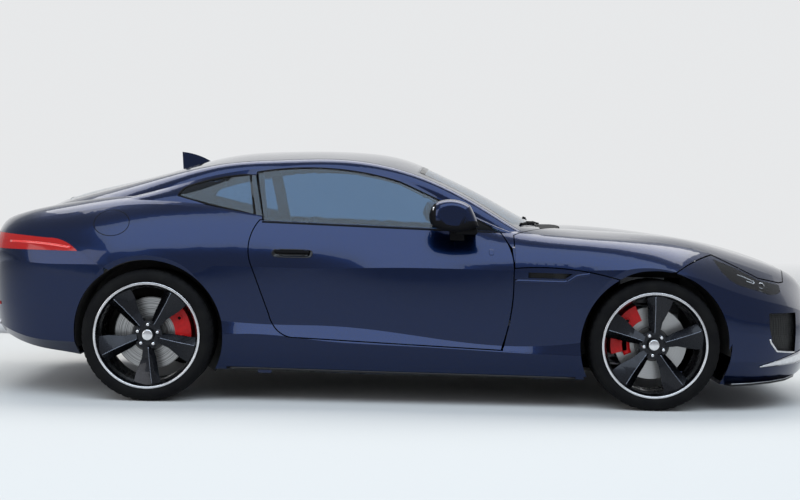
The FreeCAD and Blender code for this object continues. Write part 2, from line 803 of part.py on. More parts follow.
def caliper(face, centre_deg):
    """Caliper round the disc's edge, centred at an angle seen from the right."""
    half = 40.0
    block = turned([
        (134, disc_back - 78 - face), (218, disc_back - 78 - face), (222, disc_back - 40 - face),
        (222, disc_back + 36 - face), (134, disc_back + 36 - face),
    ])
    wedge = Part.makeCylinder(260, 400, V(0, -200, 0), V(0, 1, 0), 2 * half)
    slot = y_cylinder(0, 0, disc_radius + 5, disc_back - disc_thickness - 4 - face, disc_back + 4 - face)
    block = biggest(block.common(wedge).cut(slot))
    middle = block.CenterOfMass
    start_deg = math.degrees(math.atan2(middle.z, middle.x))
    return block.rotated(V(0, 0, 0), V(0, 1, 0), start_deg - centre_deg)


def upright(face, caliper_deg, steered):
    """Upright with its spindle, caliper ear, and for a steered wheel its pins and steering arm."""
    back = upright_depth - face
    pieces = [
        y_cylinder(0, 0, spindle_radius, 84 - face, back + 10),
        y_cylinder(0, 0, 60, back, back + 34),
        span_box((-26, 26), (back + 2, back + 32), (-138, 138)),
    ]
    ear = span_box((20, 140), (back + 2, back + 26), (-22, 22))
    clear = turned([(133.7, back - 60), (400, back - 60), (400, back + 60), (133.7, back + 60)])
    pieces.append(ear.cut(clear).rotated(V(0, 0, 0), V(0, 1, 0), -caliper_deg))
    if steered:
        axis = kingpin_depth - face
        for low, top in ((-166, -130), (130, 166)):
            pieces.append(Part.makeCylinder(pin_radius, top - low, V(0, axis, low)))
        arm = span_box((0, steering_arm + 16), (back + 4, back + 30), (-112, -88))
        hole = Part.makeCylinder(pin_radius + bearing_gap, 60, V(steering_arm, axis, -130))
        pieces.append(arm.cut(hole))
    return fuse_all(pieces)


def wheel_nodes():
    """The four wheels, brakes and uprights. The table: name, x, track, tyre width, rim width,
    first spoke's angle, caliper's angle, whether it steers."""
    table = [
        ("front", front_axle_x, front_track, front_tyre_width, front_rim_width, 16.0, 155.0, True),
        ("rear", rear_axle_x, rear_track, rear_tyre_width, rear_rim_width, 58.5, 12.0, False),
    ]
    parts = {}
    for name, x, track, tyre_width, rim_width, spoke_deg, caliper_deg, steered in table:
        place = V(x, -track / 2, wheel_z)
        face = rim_width / 2
        pieces = {
            "tyre": tyre(tyre_width, rim_width),
            "rim": rim(rim_width, spoke_deg),
            "disc": brake_disc(face),
            "caliper": caliper(face, caliper_deg),
            "upright": upright(face, caliper_deg, steered),
        }
        for piece, shape in pieces.items():
            right = shape.translated(place)
            if not steered and piece in ("caliper", "upright"):
                parts[name + "_" + piece + "s"] = both_sides(right)
            else:
                parts[name + "_" + piece + "_right"] = right
                parts[name + "_" + piece + "_left"] = mirrored(right)
    return parts


def suspension_arms(x, pin_y, bore, levels):
    """Upper and lower arms of one right wheel. Levels: height at the wheel and at the pivots, half
    spread of the pivots, their distance from the middle."""
    arms = []
    for z, inner_z, spread, inner_y in levels:
        pieces = [
            Part.makeCylinder(24, 22, V(x, -pin_y, z - 11)),
            rod((x - spread - 14, -inner_y, inner_z), (x + spread + 14, -inner_y, inner_z), 13),
        ]
        for side in (-1, 1):
            pieces.append(rod((x + side * spread, -inner_y, inner_z), (x + side * 8, -pin_y + 8, z), 11))
        arms.append(fuse_all(pieces).cut(bore))
    return arms


def front_arms(s, h):
    """Front suspension arms and dampers."""
    pin_y = front_track / 2 + front_rim_width / 2 - kingpin_depth
    x = front_axle_x
    bore = Part.makeCylinder(pin_radius + bearing_gap, 400, V(x, -pin_y, wheel_z - 200))
    lower, upper = suspension_arms(
        x, pin_y, bore, [(wheel_z - 153, 210, 150, 430), (wheel_z + 153, 515, 90, tower_y + 13.3)]
    )
    damper = rod((x + 81, -560, 198), (x + 30, -tower_y - 24, 640), 16)
    return both_sides(Part.makeCompound([lower.fuse(damper), upper]))


def rear_arms(s, h):
    """Rear suspension arms, half shafts and dampers, up to the uprights."""
    x = rear_axle_x
    back = rear_track / 2 + rear_rim_width / 2 - upright_depth - 34 - seat_gap
    pieces = []
    for z, inner_z, spread, inner_y in ((220, 240, 140, 370), (460, 455, 130, 370)):
        bush = rod((x - spread - 14, -inner_y, inner_z), (x + spread + 14, -inner_y, inner_z), 13)
        end = span_box((x - 24, x + 24), (-back, 40 - back), (z - 12, z + 12))
        arms = [rod((x + k * spread, -inner_y, inner_z), (x + k * 10, 20 - back, z), 11) for k in (-1, 1)]
        pieces.append(fuse_all([bush, end] + arms))
    damper = rod((x + 60, -520, 232), (x + 60, -430, 590), 18)
    pieces[0] = pieces[0].fuse(damper)
    pieces.append(rod((x, -121, wheel_z), (x, -back, wheel_z), 16))
    return both_sides(Part.makeCompound(pieces))


def front_subframe(s, h):
    """Front subframe with the steering rack."""
    x = front_axle_x
    side = span_box((x - 190, x + 210), (-416.7, -380), (185, 235))
    posts = [span_box((a, a + 40), (-416.7, -386), (235, rail_z[0] - seat_gap)) for a in (x - 175, x + 160)]
    pieces = [side, mirrored(side)] + posts + [mirrored(p) for p in posts]
    for a in (x - 190, x + 165):
        pieces.append(span_box((a, a + 45), (-400, 400), (185, 222)))
    rack_x = x + steering_arm
    pieces.append(rod((rack_x, -rack_half, rack_z), (rack_x, rack_half, rack_z), 22))
    for y in (-250, 250):
        pieces.append(span_box((rack_x - 10, x + 190), (y - 15, y + 15), (200, rack_z - 10)))
    return fuse_all(pieces)


def rear_subframe(s, h):
    """Rear subframe with the final drive and its turrets up to the luggage floor."""
    x = rear_axle_x
    side = span_box((x - 240, x + 240), (-356.7, -310), (372, 420))
    turrets = [
        Part.makeCylinder(24, floor_rear_z - seat_gap - 400, V(x + a, -333, 400)) for a in (-210, 210)
    ]
    pieces = [side, mirrored(side)] + turrets + [mirrored(t) for t in turrets]
    for a in (x - 240, x + 200):
        pieces.append(span_box((a, a + 40), (-330, 330), (376, 416)))
    hangers = [span_box((x + a, x + a + 40), (-356.7, -330), (226, 470)) for a in (-140, 100)]
    pieces += hangers + [mirrored(g) for g in hangers]
    pieces.append(span_box((x - 130, x + 110), (-120.7, 120.7), (250, 430)))
    pieces.append(span_box((x - 220, x - 100), (-60, 60), (380, 412)))
    return fuse_all(pieces)


def tie_rod():
    """Right tie rod from the steering arm's eye to the rack's end."""
    pin_y = front_track / 2 + front_rim_width / 2 - kingpin_depth
    x = front_axle_x + steering_arm
    pin = Part.makeCylinder(pin_radius, 46, V(x, -pin_y, rack_z - 46))
    ball = Part.makeSphere(17, V(x, -pin_y, rack_z))
    return fuse_all([pin, ball, rod((x, -pin_y, rack_z), (x, -rack_half - 80, rack_z), 9)])


def front_structure(s, h):
    """Front rails, damper towers, upper beam and radiator."""
    x = front_axle_x
    rail = span_box((652.3, 1960), (-440, -386), rail_z)
    tower = span_box((x - 120, x + 120), (-tower_y, -386), (rail_z[1], 720))
    post = span_box((1930, 1960), (-440, -386), (rail_z[1], beam_z[1]))
    beam = span_box((1930, 2125), (-440, 440), beam_z).common(s.inner)
    radiator = span_box((1985, 2030), (-375, 375), (215, beam_z[0] - seat_gap))
    frame = fuse_all([rail, tower, post, mirrored(rail), mirrored(tower), mirrored(post), beam])
    return Part.makeCompound([frame, radiator])


def engine(s, h):
    """Engine as one plain block."""
    block = span_box((700, 1365), (-300, 300), (222.3, 770))
    edges = [e for e in block.Edges if e.BoundBox.ZMin > 700 and e.BoundBox.XLength > 300]
    return block.makeChamfer(60, edges)


def exhaust(s, h):
    """Tailpipes, silencers and pipes forward to the floor."""
    pieces = []
    silencer = span_box((-2030, -1760), (-600, -330), (300, 430))
    silencer = silencer.makeFillet(40, [e for e in silencer.Edges if e.BoundBox.YLength > 200])
    bend = (-1620, -270, 270)
    pipe = fuse_all([
        rod((-1770, -420, 330), bend, 26), rod(bend, (-1001, -270, 215), 26), Part.makeSphere(26, V(*bend))
    ])
    end = V(tip_x, -tip_y, tip_z)
    tip = Part.makeCylinder(tip_radius, 200, end, V(1, 0, 0))
    tip = tip.cut(Part.makeCylinder(tip_radius - 5, 120, end, V(1, 0, 0)))
    hanger = span_box((-1900, -1880), (-400, -380), (400, floor_rear_z - seat_gap))
    return both_sides(biggest(fuse_all([silencer, pipe, tip, hanger])))


def wheel_liners(s, h):
    """Liners inside the four wheel arches."""
    x = rear_axle_x
    wall = 10
    ring = y_cylinder(x, wheel_z, arch_radius + seat_gap + wall, -930, -rear_well_inner_y)
    ring = ring.cut(y_cylinder(x, wheel_z, arch_radius + seat_gap, -930, -rear_well_inner_y - wall))
    hole = span_box((x - 180, x + 180), (-far, 0), (0, wheel_z + 180))
    behind = span_box((x - 500, x), (-far, 0), (0, 260))
    ahead = span_box((x, x + 500), (-far, 0), (0, 366))
    ring = ring.cut([hole, behind, ahead])
    rear = biggest(ring.common(s.inner))
    x = front_axle_x
    inner_y = front_well_inner_y
    ring = y_cylinder(x, wheel_z, front_well_radius + wall, -860, -inner_y)
    ring = ring.cut(y_cylinder(x, wheel_z, front_well_radius, -860, -inner_y - wall))
    hole = span_box((x - 200, x + 200), (-far, 0), (0, wheel_z + 330))
    ring = ring.cut([hole, span_box((x - 500, x + 500), (-far, 0), (0, 285))])
    front = biggest(ring.common(lower_body(body_skin + 8)))
    front = front.fuse(span_box((x - 100, x + 100), (-inner_y - 4, -tower_y - seat_gap), (680, 716)))
    return both_sides(Part.makeCompound([rear, biggest(front)]))


def floor_pan(s, h):
    """Floor between the sills, with the tunnel, and the tray under the engine."""
    pan = s.skin.common(span_box((-1000, 890), (-side_inner_y + seat_gap, side_inner_y - seat_gap), (0, 300)))
    tunnel = outline((-130, 170), (-100, tunnel_z), (100, tunnel_z), (130, 170), axes=nose_view)
    pan = biggest(pan.fuse(tunnel.translated(V(-639.7, 0, 0)).extrude(V(1279.4, 0, 0))))
    half = front_well_inner_y - 2
    tray = biggest(s.front.common(span_box((890.3, 1382.7), (-half, half), (0, 300))))
    return Part.makeCompound([pan, tray])


def front_pillar(s, h):
    """Right pillar between the door and the front wheel."""
    back, ahead = pillar_x
    region = side_prism(outline((back, 295.4), (ahead, 291.4), (ahead, 860), (back, 880)), side_inner_y)
    wells = wheel_wells()
    return biggest(lower_body(body_skin + 8).common(region).cut([h.pocket, wells[0], cabin(0)]))


def centre_pillar():
    """Right pillar behind the door, with the strip between the side glasses."""
    strip = outline((-735, 915), (-790, 1250), (-850, 1250), (-806, 915))
    rail = cabin().cut(cabin(roof_wall + seat_gap)).common(span_box((-900, -700), (-far, 0), (1150, high)))
    upper = cabin(glass_inset + glass_thickness + 6).cut(cabin(60)).common(side_prism(strip, 400)).cut(rail)
    jamb = outline(
        (-795, 935), (-785, 800), (-705, 520), (-620, 360), (-690, 347.5), (-880, 356.6), (-880, 935)
    )
    lower = lower_body(body_skin + 8).common(side_prism(jamb, side_inner_y))
    return biggest(upper.fuse(lower))


def pillars(s, h):
    """Front and centre pillars."""
    return both_sides(Part.makeCompound([front_pillar(s, h), centre_pillar()]))


def bulkheads(s, h):
    """Plates ahead of and behind the cabin, and the luggage floor between the rear wheels."""
    half = side_inner_y - seat_gap
    front = s.inner.common(span_box((640, 652), (-half, half), (100, 880)))
    rear = s.inner.common(span_box((-652, -640), (-half, half), (100, floor_rear_z - seat_gap)))
    half = rear_well_inner_y - seat_gap
    luggage = s.inner.common(span_box((-2230, -640), (-half, half), (floor_rear_z, floor_rear_z + 15)))
    return Part.makeCompound([biggest(front), biggest(rear), biggest(luggage)])


def seats(s, h):
    """Two bucket seats with raised sides."""
    middle = outline(
        (50, seat_z), (75, 290, 50, 330), (-380, 296), (-470, 560, -540, 850), (-550, 965), (-610, 965),
        (-620, 850), (-585, 400), (-560, seat_z),
    )
    side = outline(
        (40, 200), (60, 330, 20, 385), (-330, 365), (-400, 560, -490, 780), (-560, 800), (-600, 600),
        (-560, 200),
    )
    seat = middle.translated(V(0, -seat_y - 145, 0)).extrude(V(0, 290, 0))
    bolsters = [side.translated(V(0, -seat_y + a, 0)).extrude(V(0, 80, 0)) for a in (-225, 145)]
    return both_sides(fuse_all([seat] + bolsters))


def dashboard(s, h):
    """Dashboard across the cabin with the steering column and the console."""
    profile = outline(
        (639.7, 480), (639.7, 880), (480, 905, 340, 860), (305, 800, 320, 700), (400, 560, 470, 480)
    )
    board = through_prism(profile).common(s.inner)
    board = board.common(span_box((0, 700), (-side_inner_y + seat_gap, side_inner_y - seat_gap), (0, high)))
    x, y, z = steering_wheel_centre
    way = V(*steering_axis)
    column = Part.makeCylinder(32, 150, V(x, y, z).sub(V(way).multiply(180)), way)
    pin = Part.makeCylinder(column_radius, 200, V(x, y, z).sub(V(way).multiply(180)), way)
    console = span_box((-400, 400), (-115, 115), (tunnel_z + seat_gap, 500))
    console = console.makeFillet(20, [e for e in console.Edges if e.BoundBox.ZMin > 490])
    neck = span_box((330, 430), (-115, 115), (450, 620))
    return biggest(fuse_all([biggest(board), column, pin, console, neck]))


def steering_wheel():
    """Steering wheel about the origin, its axis along Z towards the driver."""
    ring = Part.makeTorus(steering_wheel_radius, 15)
    hub = Part.makeCylinder(45, 34, V(0, 0, -24))
    pieces = [ring, hub]
    for angle in (0, 180, 270):
        arm = span_box((30, steering_wheel_radius), (-18, 18), (-10, 4))
        pieces.append(arm.rotated(V(0, 0, 0), V(0, 0, 1), angle))
    wheel = fuse_all(pieces).cut(Part.makeCylinder(column_radius + bearing_gap, 48, V(0, 0, -28)))
    turn = FreeCAD.Rotation(V(0, 0, 1), V(*steering_axis))
    wheel.Placement = FreeCAD.Placement(V(*steering_wheel_centre), turn)
    return wheel


def grille(s, h):
    """Grille: a deep frame that lines the bumper's mouth, with a mesh of bars at its back, and the
    plates behind the side intakes."""
    mouth = mouth_face(-seat_gap)
    inner = mouth_face(-14)
    frame = mouth.cut(inner).translated(V(grille_x, 0, 0)).extrude(V(200, 0, 0)).common(s.outer)
    room = mouth.translated(V(grille_x, 0, 0)).extrude(V(grille_depth, 0, 0))
    bars = []
    for k in range(-7, 8):
        y = k * 52.0
        bars.append(span_box((grille_x, grille_x + grille_depth), (y - 2.5, y + 2.5), (320, 570)))
    for z in range(365, 560, 38):
        bars.append(span_box((grille_x, grille_x + grille_depth), (-400, 400), (z - 2.5, z + 2.5)))
    mesh = biggest(fuse_all([frame] + [bar.common(room) for bar in bars]))
    backing = lower_body(body_skin + seat_gap).cut(lower_body(body_skin + 8)).common(side_intake(intake_rim))
    backing = biggest(backing)
    return Part.makeCompound([mesh, backing, mirrored(backing)])


def antenna_fin(s, h):
    """Aerial fin on the roof's rear edge."""
    return biggest(fin_blank(1200).cut(s.outer))


def fin_blank(z):
    """Side outline of the fin, 40 wide."""
    face = outline((-1307, 1311), (-1287, 1309), (-1212, 1292, -1145, 1262), (-1145, z), (-1299, z))
    return face.translated(V(0, -14, 0)).extrude(V(0, 28, 0))


PANELS = {
    "rear_quarters": rear_quarters, "sills": sills, "roof": roof, "windscreen_pillars": windscreen_pillars,
    "cowl": cowl, "bonnet": bonnet, "tailgate": tailgate, "front_bumper": front_bumper,
    "rear_bumper": rear_bumper, "lower_wings": lower_wings, "headlamps": headlamps,
    "tail_lamps": tail_lamps, "hinges": hinges,
    "front_arms": front_arms, "rear_arms": rear_arms, "front_subframe": front_subframe,
    "rear_subframe": rear_subframe, "front_structure": front_structure, "engine": engine,
    "exhaust": exhaust, "wheel_liners": wheel_liners, "floor_pan": floor_pan,
    "pillars": pillars, "bulkheads": bulkheads, "seats": seats, "dashboard": dashboard,
    "grille": grille, "antenna_fin": antenna_fin,
}


def main():
    os.makedirs("parts", exist_ok=True)
    s = Shells()
    h = Holes()
    nodes = {name: make(s, h) for name, make in PANELS.items()}
    nodes["windscreen"] = biggest(s.glass.common(plan_prism(windscreen_face(), 850, high)))
    nodes["tailgate_glass"] = biggest(s.glass.common(plan_prism(rear_glass_face(), 850, high)))
    nodes["quarter_glass"] = both_sides(biggest(s.glass.common(side_prism(quarter_glass_face(), 400))))
    for name, shape in door_parts(s, h).items():
        nodes[name + "_right"] = shape
        nodes[name + "_left"] = mirrored(shape)
    nodes["tie_rod_right"] = tie_rod()
    nodes["tie_rod_left"] = mirrored(tie_rod())
    nodes["steering_wheel"] = steering_wheel()
    nodes.update(wheel_nodes())
    for name, shape in nodes.items():
        shape.exportStep("parts/" + name + ".step")
        print(name, shape.isValid(), len(shape.Solids), round(shape.Volume / 1e6, 2))


main()
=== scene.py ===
"""Looks of the two-seat coupe: materials, tyre tread, trims, lamps, soft seats and lights."""
import math

import bmesh
import bpy
from mathutils import Matrix, Vector
from mathutils.bvhtree import BVHTree


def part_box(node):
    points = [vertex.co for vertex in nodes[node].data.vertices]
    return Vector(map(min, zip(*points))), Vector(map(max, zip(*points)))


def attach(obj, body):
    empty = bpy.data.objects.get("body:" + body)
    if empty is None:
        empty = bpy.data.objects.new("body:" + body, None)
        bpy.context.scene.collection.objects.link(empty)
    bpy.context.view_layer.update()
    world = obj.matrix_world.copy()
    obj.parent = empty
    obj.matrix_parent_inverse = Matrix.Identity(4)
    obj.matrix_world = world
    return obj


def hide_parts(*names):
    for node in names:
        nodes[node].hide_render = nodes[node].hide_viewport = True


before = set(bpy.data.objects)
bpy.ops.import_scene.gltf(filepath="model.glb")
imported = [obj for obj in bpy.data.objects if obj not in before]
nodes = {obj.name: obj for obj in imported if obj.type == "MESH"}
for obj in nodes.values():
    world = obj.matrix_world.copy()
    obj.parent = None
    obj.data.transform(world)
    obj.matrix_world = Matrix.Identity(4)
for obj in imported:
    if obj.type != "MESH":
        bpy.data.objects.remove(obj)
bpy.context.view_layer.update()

SIDES = (("right", -1), ("left", 1))
UP = Vector((0, 0, 1))
FRONT_X, REAR_X, WHEEL_Z = 1.285, -1.337, 0.340  # the axles
FRONT_Y, REAR_Y = 0.790, 0.805  # the tyres' middles
NOISE, CELLS = "ShaderNodeTexNoise", "ShaderNodeTexVoronoi"


# ------------------------ shader nodes
def material(name, colour, roughness=0.5, metallic=0.0, **sockets):
    """Principled material; the sockets are set on the shader itself."""
    m = bpy.data.materials.new(name)
    m.use_nodes = True
    shader = shader_of(m)
    shader.inputs["Base Color"].default_value = (*colour, 1)
    shader.inputs["Roughness"].default_value = roughness
    shader.inputs["Metallic"].default_value = metallic
    for key, value in sockets.items():
        shader.inputs[key.replace("_", " ")].default_value = value
    return m


def shader_of(m):
    return m.node_tree.nodes["Principled BSDF"]


def add(m, kind, **values):
    """New node of a material, with its properties or sockets set."""
    node = m.node_tree.nodes.new(kind)
    for key, value in values.items():
        if key in node.inputs:
            node.inputs[key].default_value = value
        else:
            setattr(node, key, value)
    return node


def link(m, a, b):
    m.node_tree.links.new(a, b)


def object_place(m):
    return add(m, "ShaderNodeTexCoord").outputs["Object"]


def separate_place(m):
    """The X, Y and Z of a place on the object."""
    node = add(m, "ShaderNodeSeparateXYZ")
    link(m, object_place(m), node.inputs["Vector"])
    return node.outputs


def calc(m, operation, *values):
    """Result of one Math node on sockets and plain numbers."""
    node = add(m, "ShaderNodeMath", operation=operation)
    for socket, value in zip(node.inputs, values):
        if isinstance(value, float):
            socket.default_value = value
        else:
            link(m, value, socket)
    return node.outputs[0]


def rise(m, value, low, high):
    """0 to 1 while a value goes from low to high."""
    node = add(m, "ShaderNodeMapRange", **{"From Min": low, "From Max": high})
    link(m, value, node.inputs["Value"])
    return node.outputs[0]


def ramp(m, value, low, high, spots):
    """Two colours or two grey levels, at two spots of a value."""
    node = add(m, "ShaderNodeValToRGB")
    for element, level, spot in zip(node.color_ramp.elements, (low, high), spots):
        element.color = (*level, 1) if isinstance(level, tuple) else (level, level, level, 1)
        element.position = spot
    link(m, value, node.inputs["Fac"])
    return node.outputs["Color"]


def mix_base(m, share, low, high):
    """Base colour between two: each is a plain colour or a socket."""
    node = add(m, "ShaderNodeMix", data_type="RGBA")
    link(m, share, node.inputs[0])
    for socket, colour in ((node.inputs[6], low), (node.inputs[7], high)):
        if isinstance(colour, tuple):
            socket.default_value = (*colour, 1)
        else:
            link(m, colour, socket)
    link(m, node.outputs[2], shader_of(m).inputs["Base Color"])


def pattern(m, kind, scale, detail):
    """Grey value of a noise or cell texture over the object."""
    texture = add(m, kind, Scale=scale, Detail=detail)
    link(m, object_place(m), texture.inputs["Vector"])
    return texture.outputs["Fac" if "Fac" in texture.outputs else "Distance"]


def vary(m, scale, low, high, socket="Base Color", detail=4.0, kind=NOISE):
    """Noise between two colours or two grey levels on a socket."""
    value = pattern(m, kind, scale, detail)
    link(m, ramp(m, value, low, high, (0.3, 0.7)), shader_of(m).inputs[socket])


def bump(m, height, strength, distance, **values):
    """Bump from a height."""
    node = add(m, "ShaderNodeBump", Strength=strength, Distance=distance, **values)
    link(m, height, node.inputs["Height"])
    link(m, node.outputs["Normal"], shader_of(m).inputs["Normal"])


def grain(m, scale, strength, distance=0.0005, kind=NOISE):
    """Fine bump."""
    bump(m, pattern(m, kind, scale, 3.0), strength, distance)


def wheel_radius(m, x):
    """Distance from the wheels' axis at x, and the separate coordinates."""
    place = separate_place(m)
    squares = []
    for axis, centre in (("X", x), ("Z", WHEEL_Z)):
        away = calc(m, "SUBTRACT", place[axis], centre)
        squares.append(calc(m, "MULTIPLY", away, away))
    return calc(m, "SQRT", calc(m, "ADD", *squares)), place


# ------------------------ materials
def make_paint():
    """Dark metal flakes under a clear coat."""
    m = material("paint", (0.003, 0.012, 0.054), 0.24, 0.9, Coat_Weight=1.0, Coat_Roughness=0.015,
                 Coat_IOR=1.34, Specular_IOR_Level=0.2)
    vary(m, 1400.0, (0.002, 0.007, 0.028), (0.005, 0.017, 0.072), detail=2.0)
    vary(m, 3.0, 0.20, 0.26, socket="Roughness")
    return m


def make_glass(name, colour):
    m = material(name, colour, 0.0, 0.0, Transmission_Weight=1.0, IOR=1.45)
    vary(m, 2.0, 0.0, 0.02, socket="Roughness")
    return m


def make_rubber():
    m = material("rubber", (0.005, 0.005, 0.006), 0.7, Specular_IOR_Level=0.08)
    vary(m, 14.0, (0.004, 0.004, 0.005), (0.008, 0.008, 0.008))
    grain(m, 700.0, 0.25, 0.0003)
    return m


def make_gloss_black():
    m = material("gloss_black", (0.006, 0.006, 0.007), 0.18, 0.0, Specular_IOR_Level=0.35)
    vary(m, 30.0, 0.12, 0.22, socket="Roughness")
    return m


def make_satin_black():
    m = material("satin_black", (0.006, 0.006, 0.007), 0.45, Specular_IOR_Level=0.06)
    vary(m, 60.0, 0.42, 0.58, socket="Roughness")
    grain(m, 1200.0, 0.3, 0.0002)
    return m


def make_underbody():
    m = material("underbody", (0.03, 0.03, 0.03), 0.85)
    vary(m, 9.0, (0.018, 0.018, 0.018), (0.05, 0.046, 0.042))
    grain(m, 300.0, 0.4, 0.0005)
    return m


def make_metal(name, low, high, roughness, rough=0.1):
    m = material(name, high, roughness, 1.0)
    vary(m, 40.0, low, high)
    grain(m, 600.0, rough, 0.0002)
    return m


def make_leather():
    m = material("leather", (0.02, 0.02, 0.022), 0.5)
    vary(m, 25.0, (0.014, 0.014, 0.016), (0.030, 0.030, 0.033))
    grain(m, 900.0, 0.5, 0.0006, kind=CELLS)
    return m


def make_disc(name, x, scale, low, high):
    """Machined iron: a dark hat, and a bright face with rings from turning and wear."""
    m = material(name, (0.45, 0.45, 0.45), 0.34, 0.85)
    radius, _ = wheel_radius(m, x)
    rings = add(m, NOISE, noise_dimensions="1D", Scale=scale, Detail=2.0)
    link(m, radius, rings.inputs["W"])
    face = ramp(m, rings.outputs["Fac"], low, high, (0.35, 0.65))
    mix_base(m, rise(m, radius, 0.0885, 0.0895), (0.05, 0.05, 0.05), face)
    bump(m, rings.outputs["Fac"], 0.25, 0.0002)
    return m


def make_mesh(name, scale):
    """Black wire mesh; the holes between the wires are painted near-black, as painted shade of the
    hollow behind.
    """
    m = material(name, (0.01, 0.01, 0.01), 0.45, 0.0, Specular_IOR_Level=0.2)
    cells = add(m, CELLS, feature="DISTANCE_TO_EDGE", Scale=scale, Randomness=0.0)
    link(m, object_place(m), cells.inputs["Vector"])
    edge = cells.outputs["Distance"]
    # the wires are 0.020; the insides of the cells are painted shade at 0.001
    link(m, ramp(m, edge, 0.020, 0.001, (0.10, 0.16)), shader_of(m).inputs["Base Color"])
    bump(m, edge, 0.8, 0.002, invert=True)
    return m


def make_fabric(name, colour):
    """Close-woven lining."""
    m = material(name, colour, 0.9, 0.0, Sheen_Weight=0.3)
    vary(m, 500.0, tuple(c * 0.7 for c in colour), tuple(c * 1.3 for c in colour))
    grain(m, 900.0, 0.4, 0.0004)
    return m


def make_rim(name, x):
    """Black spokes, and a bright turned lip: beyond a radius, and only on the outer face."""
    black = (0.012, 0.013, 0.017)
    m = material(name, black, 0.28, 0.9, Coat_Weight=0.3, Coat_Roughness=0.06)
    radius, place = wheel_radius(m, x)
    face = rise(m, calc(m, "ABSOLUTE", place["Y"]), 0.880, 0.884)
    lip = rise(m, radius, 0.2615, 0.2625)
    mix_base(m, calc(m, "MULTIPLY", lip, face), black, (0.62, 0.62, 0.64))
    vary(m, 40.0, 0.22, 0.34, socket="Roughness")
    return m


def make_coated(name, colour, roughness, scale, low, high, kind=NOISE, **sockets):
    """Plain lacquer, lens or plate whose colour varies a little."""
    m = material(name, colour, roughness, 0.0, **sockets)
    vary(m, scale, low, high, kind=kind)
    return m


paint = make_paint()
glass = make_glass("tinted_glass", (0.17, 0.31, 0.46))
lamp_glass = make_glass("lamp_glass", (0.92, 0.94, 0.96))
rubber = make_rubber()
gloss_black = make_gloss_black()
satin_black = make_satin_black()
underbody = make_underbody()
leather = make_leather()
disc_looks = {"front": make_disc("disc_front", FRONT_X, 420.0, 0.40, 0.52),
              "rear": make_disc("disc_rear", REAR_X, 260.0, 0.10, 0.62)}
mesh_painted_shade = make_mesh("mesh_painted_shade", 90.0)
lining = make_fabric("lining", (0.035, 0.035, 0.038))
carpet = make_fabric("carpet", (0.016, 0.016, 0.017))
white_lens = make_coated("white_lens", (0.80, 0.82, 0.85), 0.2, 200.0, (0.72, 0.74, 0.78),
                         (0.85, 0.87, 0.90), Coat_Weight=0.6)
red_light = make_coated("red_light", (0.75, 0.02, 0.015), 0.15, 260.0, (0.60, 0.012, 0.010),
                        (0.85, 0.05, 0.04), Coat_Weight=1.0)
plate_white = make_coated("plate_white", (0.62, 0.62, 0.60), 0.4, 120.0, (0.58, 0.58, 0.56),
                          (0.66, 0.66, 0.64), Coat_Weight=0.3)
alloy = make_metal("cast_alloy", (0.35, 0.36, 0.37), (0.50, 0.51, 0.53), 0.45)
cast_dark = make_metal("cast_dark", (0.03, 0.03, 0.03), (0.07, 0.07, 0.07), 0.6)
# pale bluish metal for the strips along the spokes' edges: painted highlight
ridge_highlight = make_metal("ridge_highlight", (0.16, 0.18, 0.22), (0.24, 0.26, 0.31), 0.25)
steel = make_metal("steel", (0.30, 0.30, 0.31), (0.45, 0.45, 0.46), 0.35)
bright = make_metal("bright_metal", (0.62, 0.62, 0.64), (0.75, 0.75, 0.77), 0.15, rough=0.02)
lamp_red = make_coated("lamp_red", (0.30, 0.004, 0.005), 0.10, 300.0, (0.20, 0.003, 0.004),
                       (0.38, 0.008, 0.007), kind=CELLS, Specular_IOR_Level=0.4)
caliper_red = make_coated("caliper_red", (0.55, 0.004, 0.006), 0.35, 50.0, (0.48, 0.003, 0.005),
                          (0.62, 0.006, 0.007), Specular_IOR_Level=0.3)
rim_looks = {"front": make_rim("rim_front", FRONT_X), "rear": make_rim("rim_rear", REAR_X)}

LOOKS = {
    "rear_quarters": paint, "sills": paint, "roof": paint, "windscreen_pillars": paint,
    "bonnet": paint, "tailgate": paint, "front_bumper": paint, "rear_bumper": paint,
    "lower_wings": paint, "antenna_fin": paint, "cowl": satin_black, "pillars": satin_black,
    "dashboard": satin_black, "grille": gloss_black, "headlamps": lamp_glass,
    "tail_lamps": lamp_red, "windscreen": glass, "tailgate_glass": glass, "quarter_glass": glass,
    "hinges": steel, "front_subframe": steel, "rear_subframe": steel, "exhaust": steel,
    "front_arms": alloy, "rear_arms": alloy, "front_structure": alloy, "rear_uprights": alloy,
    "engine": cast_dark, "wheel_liners": underbody, "floor_pan": underbody,
    "bulkheads": underbody, "seats": leather, "steering_wheel": leather,
    "rear_calipers": caliper_red,
}
for side, _ in SIDES:
    LOOKS.update({
        "door_" + side: paint, "door_glass_" + side: glass, "door_mirror_" + side: paint,
        "tie_rod_" + side: steel, "front_caliper_" + side: caliper_red,
        "front_upright_" + side: alloy,
    })
    for end in ("front", "rear"):
        LOOKS[f"{end}_rim_{side}"] = rim_looks[end]
        LOOKS[f"{end}_tyre_{side}"] = rubber
        LOOKS[f"{end}_disc_{side}"] = disc_looks[end]
for name, node in nodes.items():
    node.data.materials.clear()
    node.data.materials.append(LOOKS[name])


def second_look(name, look, chosen):
    """Another look for the faces of a CAD node that a test picks by centre and normal."""
    data = nodes[name].data
    data.materials.append(look)
    slot = len(data.materials) - 1
    for face in data.polygons:
        if chosen(face.center, face.normal):
            face.material_index = slot


def faces_in(centre, normal):
    """Whether a side face looks towards the middle of the car, or along its own outline's edge."""
    return normal.y * (1 if centre.y > 0 else -1) < 0.02


